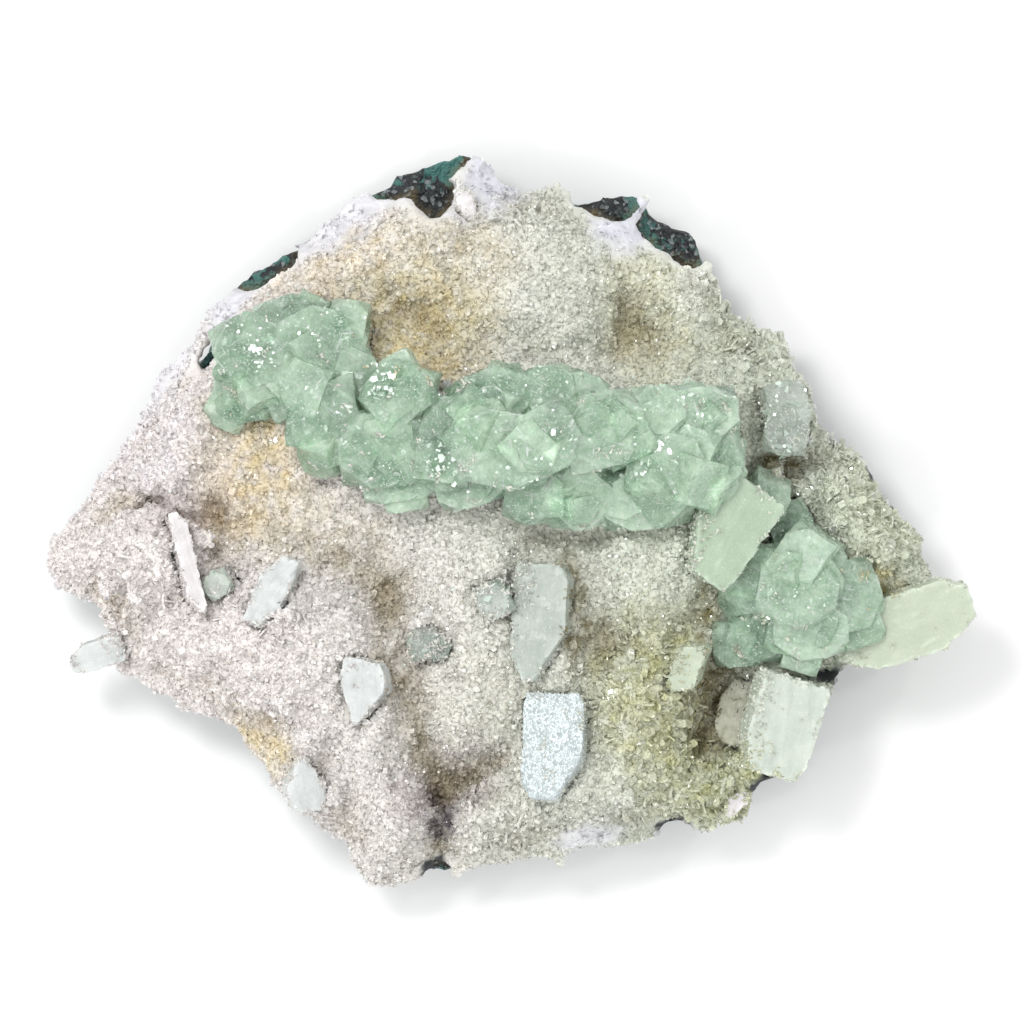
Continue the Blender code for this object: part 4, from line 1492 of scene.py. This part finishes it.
    def build(self, specimen: Specimen) -> None:
        """Dresses the crust and grows the druse on it.

        Args:
            specimen: What it is a part of.
        """
        rock = MeshKit.copy_node(specimen.nodes["heulandite_crust"], "heulandite_rock")
        MeshKit.remesh(rock, self.voxel)
        self.relief(rock)
        self.paint(rock, specimen.crystals)
        rock.data.shade_smooth()
        coffins = SmallCrystals(Habit.COFFIN, 8, 5).shapes()
        blades = SmallCrystals(Habit.BLADE, 8, 9).shapes()
        rows = {}
        for index, (start, end) in enumerate(zip(self.bands, self.bands[1:])):
            band = replace(self.fine, seed=self.fine.seed + index, from_x=start, to_x=end)
            rows[f"druse_fine_{index}"] = (band, specimen.grains)
        rows["druse_middling"] = (self.middling, coffins)
        rows["druse_coarse"] = (self.coarse, coffins)
        rows["druse_blades"] = (self.sprays, blades)
        pieces = [
            specimen.growths.grow(name, rock, growth, shapes, specimen.druse)
            for name, (growth, shapes) in rows.items()
        ]
        MeshKit.dress(rock, CrustFinish("massive_heulandite").make())
        specimen.place(rock, "heulandite", "heulandite_crust")
        for piece in pieces:
            specimen.place(piece, "heulandite")


@dataclass(frozen=True)
class Flash:
    """A place on the apophyllite where broken cleavage flashes white."""

    x: float
    y: float
    spread: float
    count: int
    size: float


@dataclass
class Apophyllite:
    """The green crystals: their stepped faces, toned edges (a painted highlight on the mint green, darker on
    the faint and clear ones), veils and flashes.
    """

    fineness: float = 1.0
    edge_width: float = 1.3
    steps: tuple[float, float, float] = (2.6, 2.2, 2.4)
    step_rise: float = 0.3
    step_tilt: float = 8.0
    clear_tilt: float = 17.0
    blocks: Growth = Growth("upward", 5.0, 0.04, 6.0, 11.0, 10, 4.3, 70)
    block_fineness: float = 1.5
    block_rise: float = 0.15
    veils: tuple[Growth, ...] = (
        Growth("upward", 0.5, 0.5, 0.6, 1.8, 60, 0.8, 50),
        Growth("upward", 0.8, 0.3, 1.0, 3.0, 60, 2.2, 60),
        Growth("upward", 1.2, 0.2, 1.6, 4.0, 60, 4.5, 70),
    )
    overgrown: tuple[Patch, ...] = (
        Patch(-6, -14.5, 2.5, 3, 0),
        Patch(-2, -19, 4, 1.6, 0, 0.8),
        Patch(-19, -27, 2.5, 2, 0, 0.8),
        Patch(-13, -23, 2, 2, 0, 0.6),
    )
    clusters: tuple[str, ...] = ("apophyllite_belt", "apophyllite_cluster_right")
    lone: tuple[str, ...] = ("apophyllite_small_centre", "apophyllite_mound_centre")
    clear: tuple[str, ...] = ("apophyllite_clear_right", "apophyllite_point_left")
    flashes: tuple[Flash, ...] = (
        Flash(-25, 25.5, 4.5, 22, 1.5),
        Flash(-14, 11, 3.5, 20, 1.3),
        Flash(-10, 6.5, 1.6, 5, 1.3),
        Flash(29, 11.5, 5.0, 24, 1.5),
        Flash(-51, 35, 4.5, 18, 1.2),
        Flash(-32, 20, 6.0, 8, 1.2),
        Flash(36, 25, 4.0, 6, 1.1),
        Flash(7, 12, 9.0, 8, 1.1),
        Flash(-10, 12, 26.0, 70, 0.55),
        Flash(20, 14, 26.0, 70, 0.55),
        Flash(-45, 33, 12.0, 40, 0.6),
        Flash(56, -16, 16.0, 50, 0.55),
        Flash(56, -14, 10.0, 14, 1.1),
        Flash(-2, 20, 9.0, 6, 1.1),
        Flash(54, 24, 6.0, 14, 0.9),
        Flash(55.5, 13.5, 5.0, 12, 0.8),
    )
    sparkles: tuple[Flash, ...] = (
        Flash(0, 0, 75.0, 220, 0.5),
        Flash(-55, -5, 45.0, 90, 0.55),
        Flash(10, 42, 40.0, 60, 0.5),
        Flash(-47.4, 15.8, 0.8, 4, 1.5),
        Flash(-65, 8, 8.0, 8, 0.9),
        Flash(-35, -32, 30.0, 40, 0.8),
        Flash(20, -20, 30.0, 40, 0.8),
        Flash(20.6, -34.5, 1.5, 5, 1.2),
        Flash(62, 6, 10.0, 16, 0.9),
    )
    flake_shapes: bpy.types.Collection = field(init=False)
    block_shapes: bpy.types.Collection = field(init=False)
    veil_finish: bpy.types.Material = field(init=False)

    def flash_flakes(
        self, name: str, host: BVHTree, flashes: tuple[Flash, ...], finish: bpy.types.Material
    ) -> bpy.types.Object:
        """Lays thin flakes of cleavage that mirror the key light.

        Args:
            name: The new piece's name.
            host: What they lie on, as a search tree.
            flashes: Where they gather.
            finish: Their material.

        Returns:
            All of them as one piece.
        """
        rng = random.Random(21)
        shapes = [SmallCrystals(Habit.FLAKE).flake(rng) for _ in range(8)]
        whole = bmesh.new()
        for flash in (flash for flash in flashes for _ in range(flash.count)):
            reach = flash.spread / 2
            start = Vector((rng.gauss(flash.x, reach), rng.gauss(flash.y, reach), ABOVE_ALL))
            hit = host.ray_cast(start, -UP)[0]
            if hit is None:
                continue
            facing = direction(KEY_ROUND, KEY_DOWN / 2) + Vector((rng.gauss(0, 0.07), rng.gauss(0, 0.07), 0))
            stand = facing.to_track_quat("Z", "Y").to_matrix().to_4x4()
            spin = Matrix.Rotation(rng.uniform(0, 6.28), 4, "Z")
            size = Matrix.Scale(flash.size * rng.triangular(0.3, 1.7, 0.6), 4)
            shape = rng.choice(shapes).copy()
            lie = Matrix.Translation(hit) @ stand @ spin @ size
            bmesh.ops.transform(shape, matrix=lie, verts=shape.verts)
            mesh = bpy.data.meshes.new("flake")
            shape.to_mesh(mesh)
            shape.free()
            whole.from_mesh(mesh)
            bpy.data.meshes.remove(mesh)
        piece = MeshKit.add(name, whole)
        MeshKit.dress(piece, finish)
        return piece

    def dress(self, specimen: Specimen, name: str, index: int, finish: bpy.types.Material) -> None:
        """Dresses one crystal or cluster.

        Args:
            specimen: What it is a part of.
            name: Its node.
            index: Its number, the source of its chances.
            finish: Its material.
        """
        clear, lone = name in self.clear, name in self.lone
        slot = "clear_apophyllite" if clear else "apophyllite"
        crystal = MeshKit.copy_node(specimen.nodes[name], name + "_crystal", flat=True)
        rng = random.Random(index)
        tones = np.array([rng.random() for _ in crystal.data.polygons])
        MeshKit.store(crystal, "facet", tones, domain="FACE")
        near = MeshKit.refine(crystal, self.fineness, self.edge_width)
        MeshKit.shatter(crystal, self.steps, self.step_rise, self.clear_tilt if clear else self.step_tilt)
        MeshKit.dress(crystal, finish)
        up = np.clip(MeshKit.normals(crystal)[:, 2], 0, 1)
        MeshKit.store(crystal, "upward", smooth((up - 0.2) / 0.4))
        if name in self.clusters:
            growth = replace(self.blocks, seed=self.blocks.seed + index)
            growing = specimen.growths.grow(name + "_blocks", crystal, growth, self.block_shapes, finish)
            MeshKit.split(growing, self.block_fineness)
            MeshKit.shatter(growing, self.steps, self.block_rise, self.step_tilt)
            specimen.bury(growing)
            specimen.place(growing, slot)
        for layer, veil in enumerate(self.veils):
            growth = replace(veil, seed=veil.seed + index)
            sheets = specimen.growths.grow(
                f"{name}_veils_{layer}", crystal, growth, self.flake_shapes, self.veil_finish
            )
            specimen.place(sheets, slot)
        specimen.bury(crystal)
        specimen.overgrow(crystal, near, 0.7, 0.55 if lone else 0.0, self.overgrown, 120 + index)
        specimen.place(crystal, slot, name)

    def build(self, specimen: Specimen) -> None:
        """Dresses each cluster and each clear crystal, and lays the flashes.

        Args:
            specimen: What they are a part of.
        """
        green = ApophylliteFinish("apophyllite_mint").make()
        faint = ApophylliteFinish("apophyllite_faint", "#f0f6ee", "#dcebdc", "#d0e4d4").make()
        glass = ("#eef4ea", "#dce8d8", "#cfe2cc", "#ffffff")
        glassy = ApophylliteFinish("apophyllite_clear", *glass, clearest=0.75, milkiest=0.35).make()
        self.veil_finish = FlakeFinish("apophyllite_veil", 0.35).make()
        flash = FlakeFinish("apophyllite_flash", 0.15).make()
        self.flake_shapes = SmallCrystals(Habit.FLAKE, 8, 4).shapes()
        self.block_shapes = SmallCrystals(Habit.SQUARE, 6, 8).shapes()
        finishes = {self.clusters: green, self.lone: faint, self.clear: glassy}
        rows = [(name, finish) for names, finish in finishes.items() for name in names]
        for index, (name, finish) in enumerate(rows):
            self.dress(specimen, name, index, finish)
        cleavage = self.flash_flakes("apophyllite_cleavage", specimen.crystals, self.flashes, flash)
        specimen.place(cleavage, "apophyllite")
        sparkle = self.flash_flakes("heulandite_sparkle", specimen.crust, self.sparkles, flash)
        specimen.place(sparkle, "heulandite")


@dataclass
class Stilbite:
    """The blades and tablets that stand on their own, half overgrown by the druse."""

    fineness: float = 0.8
    rough: float = 0.35
    chip: float = 1.4
    groove: float = 0.15
    ragged: float = 0.45
    prefix: str = "stilbite_"
    edge_width: float = 0.9
    grooved: dict[str, float] = field(
        default_factory=lambda: {"fan_lower_right": 0.3, "blade_right_tip": 0.2}
    )
    hidden: dict[str, float] = field(
        default_factory=lambda: {
            "blade_mound": 0.85,
            "fan_lower_right": 0.6,
            "tablet_lower_left": 0.65,
            "blade_hollow_rim": 0.8,
            "blade_foot": 0.8,
            "blade_top": 0.8,
        }
    )
    finishes: dict[Finish, tuple[str, ...]] = field(
        default_factory=lambda: {
            StilbiteFinish("stilbite_frosty", "#dfe2df", "#c8cdca", "#eceeec", 0.28): (
                "blade_far_left",
                "tablet_lower_left",
                "blade_mound",
                "tablet_mound",
            ),
            StilbiteFinish("stilbite_grey_green", "#c2c9bf", "#aeb8ac", "#dde4dc", 0.25): ("blade_centre",),
            StilbiteFinish("stilbite_pale_green", "#bdd0b6", "#aec2a8", "#d6e2d2", 0.25): ("tablet_pale",),
            StilbiteFinish("stilbite_fibrous", "#d0d8cb", "#c3cdc0", "#e4e9df", 0.3, 0.1, 0.45): (
                "fan_lower_right",
            ),
            StilbiteFinish("stilbite_pale_olive", "#c8d2bc", "#bfcab3", "#dde5d4", 0.3, 0.15, 0.3): (
                "blade_right_tip",
                "blade_hollow_rim",
            ),
            # Painted shade: darker stilbite colours for the tablet down in the hollow.
            StilbiteFinish("stilbite_shaded", "#c6c6b0", "#9c9a82", "#d4d4c2"): ("tablet_hollow",),
            MosaicFinish("stilbite_mosaic"): ("plate_white",),
        }
    )
    overgrown: tuple[Patch, ...] = (
        Patch(1, -12, 4, 7, 0),
        Patch(0.5, -24, 1.6, 7, 0, 0.7),
        Patch(31, -27, 5, 5, 0),
        Patch(37, 4, 5, 6, -30),
        Patch(36, -6, 2.5, 9, -30, 0.8),
        Patch(49, -33, 4, 5, 0, 0.8),
        Patch(48, -45, 2.5, 7, -15, 0.7),
        Patch(66, -27, 5, 4, 0),
        Patch(-77, -24, 4, 4, 0),
        Patch(-32, -27, 5, 3, 0, 0.6),
        Patch(-51, -10, 3, 5, -20, 0.5),
        Patch(14, -38, 2, 3, 0, 0.5),
    )

    def weather(self, obj: bpy.types.Object, near: np.ndarray) -> None:
        """Makes a blade's surface a little uneven and chips its edges.

        Args:
            obj: The blade, its faces already small.
            near: How close each point is to a sharp edge.
        """
        points, offset = MeshKit.points(obj), Vector((9, 9, 9))
        waves = noise_at(points, 3.0, noise.fractal, 1.0, 2.0, 3)
        chips = np.array([max(0.0, noise.noise(Vector(point) / 1.5 + offset)) for point in points])
        MeshKit.swell(obj, self.rough * waves - self.chip * near * chips)

    def lay(self, obj: bpy.types.Object, groove: float) -> None:
        """Stores each point's place on its blade, and grooves the blade lengthwise.

        Args:
            obj: The blade.
            groove: How deep its grooves are.
        """
        points = MeshKit.points(obj)
        local = points - points.mean(0)
        spreads, axes = np.linalg.eigh(local.T @ local)
        order = np.argsort(spreads)[::-1]
        along, across, through = (local @ axes[:, i] for i in order)
        placed = np.stack([across + float(points.mean()), along, through], axis=1)
        MeshKit.store(obj, "lie", placed, Store.VECTOR)
        waves = np.array([noise.noise(Vector((p[0] / 1.3, p[1] / 14, 0))) for p in placed])
        MeshKit.swell(obj, groove * waves)

    def build(self, specimen: Specimen) -> None:
        """Dresses every blade, each kind with its own finish.

        Args:
            specimen: What they are a part of.
        """
        pearly = StilbiteFinish("stilbite_pearly").make()
        special: dict[str, bpy.types.Material] = {}
        for finish, names in self.finishes.items():
            special.update(dict.fromkeys(names, finish.make()))
        for node_name, node in specimen.nodes.items():
            if not node_name.startswith(self.prefix):
                continue
            name = node_name.removeprefix(self.prefix)
            crystal = MeshKit.copy_node(node, node_name + "_crystal", flat=True)
            near = MeshKit.refine(crystal, self.fineness, self.edge_width)
            self.weather(crystal, near)
            crystal.data.shade_smooth()
            crystal.data.set_sharp_from_angle(angle=math.radians(28.0))
            self.lay(crystal, self.grooved.get(name, self.groove))
            specimen.overgrow(crystal, near, 0.9, self.hidden.get(name, self.ragged), self.overgrown, 91)
            MeshKit.dress(crystal, special.get(name, pearly))
            specimen.place(crystal, "stilbite", node_name)


@dataclass(frozen=True)
class Lamp:
    """A soft square light that faces the specimen.

    turn is its degrees round from +X and lean its degrees down from straight up. It is
    away metres off and size metres wide, and its power is in watts.
    """

    name: str
    turn: float
    lean: float
    away: float
    size: float
    power: float

    def hang(self) -> None:
        """Puts the light in the scene."""
        towards = direction(self.turn, self.lean)
        lamp = bpy.data.lights.new(self.name, "AREA")
        lamp.size = self.size
        lamp.energy = self.power
        obj = bpy.data.objects.new(self.name, lamp)
        obj.location = towards * self.away
        obj.rotation_euler = towards.to_track_quat("Z", "Y").to_euler()
        bpy.context.scene.collection.objects.link(obj)


@dataclass
class Studio:
    """The paper floor, the lights and the camera over the crystal face."""

    lamps: tuple[Lamp, ...] = (
        Lamp("key", KEY_ROUND, KEY_DOWN, 1.1, 0.26, 4.6),
        Lamp("side", 200, 55, 1.2, 0.6, 2.6),
        Lamp("fill", 330, 50, 1.4, 0.9, 2.0),
        Lamp("sparkle_0", 20, 34, 1.0, 0.07, 0.6),
        Lamp("sparkle_1", 215, 30, 1.0, 0.07, 0.6),
        Lamp("sparkle_2", 290, 44, 1.0, 0.07, 0.6),
    )
    height: float = 2030.0
    aim: tuple[float, float] = (0.5, 1.6)
    view_width: float = 204.8
    view_level: float = 30.0
    sensor: float = 36.0

    def build(self) -> None:
        """Sets the floor, lights, surroundings and camera."""
        scene = bpy.context.scene
        bm = bmesh.new()
        bmesh.ops.create_grid(bm, x_segments=4, y_segments=4, size=3000.0)
        bmesh.ops.translate(bm, vec=(0, 0, -0.2), verts=bm.verts)
        floor = MeshKit.add("paper_floor", bm)
        MeshKit.dress(floor, PaperFinish("white_paper").make())
        floor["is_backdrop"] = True
        for lamp in self.lamps:
            lamp.hang()
        scene.world = bpy.data.worlds.new("studio")
        scene.world.use_nodes = True
        tree = scene.world.node_tree
        fill(tree, tree.nodes["Background"], {"Color": "#fbfcff", "Strength": 0.76})
        lens = bpy.data.cameras.new("camera")
        lens.sensor_width = self.sensor
        lens.lens = self.sensor * (self.height - self.view_level) / self.view_width
        lens.clip_start = 0.05
        lens.clip_end = 20.0
        camera = bpy.data.objects.new("camera", lens)
        camera.location = (self.aim[0] * MM, self.aim[1] * MM, self.height * MM)
        scene.collection.objects.link(camera)
        scene.camera = camera
        scene.view_settings.view_transform = "Standard"


def main() -> None:
    """Builds the specimen piece by piece."""
    logging.basicConfig(level=logging.INFO, format="%(name)s: %(message)s")
    noise.seed_set(NOISE_SEED)
    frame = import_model()
    specimen = Specimen(frame)
    Studio().build()
    for part in (Basalt(), Crust(), Apophyllite(), Stilbite()):
        part.build(specimen)
        LOG.info("%s is dressed", type(part).__name__)
    bpy.context.view_layer.update()


if __name__ == "__main__":
    main()
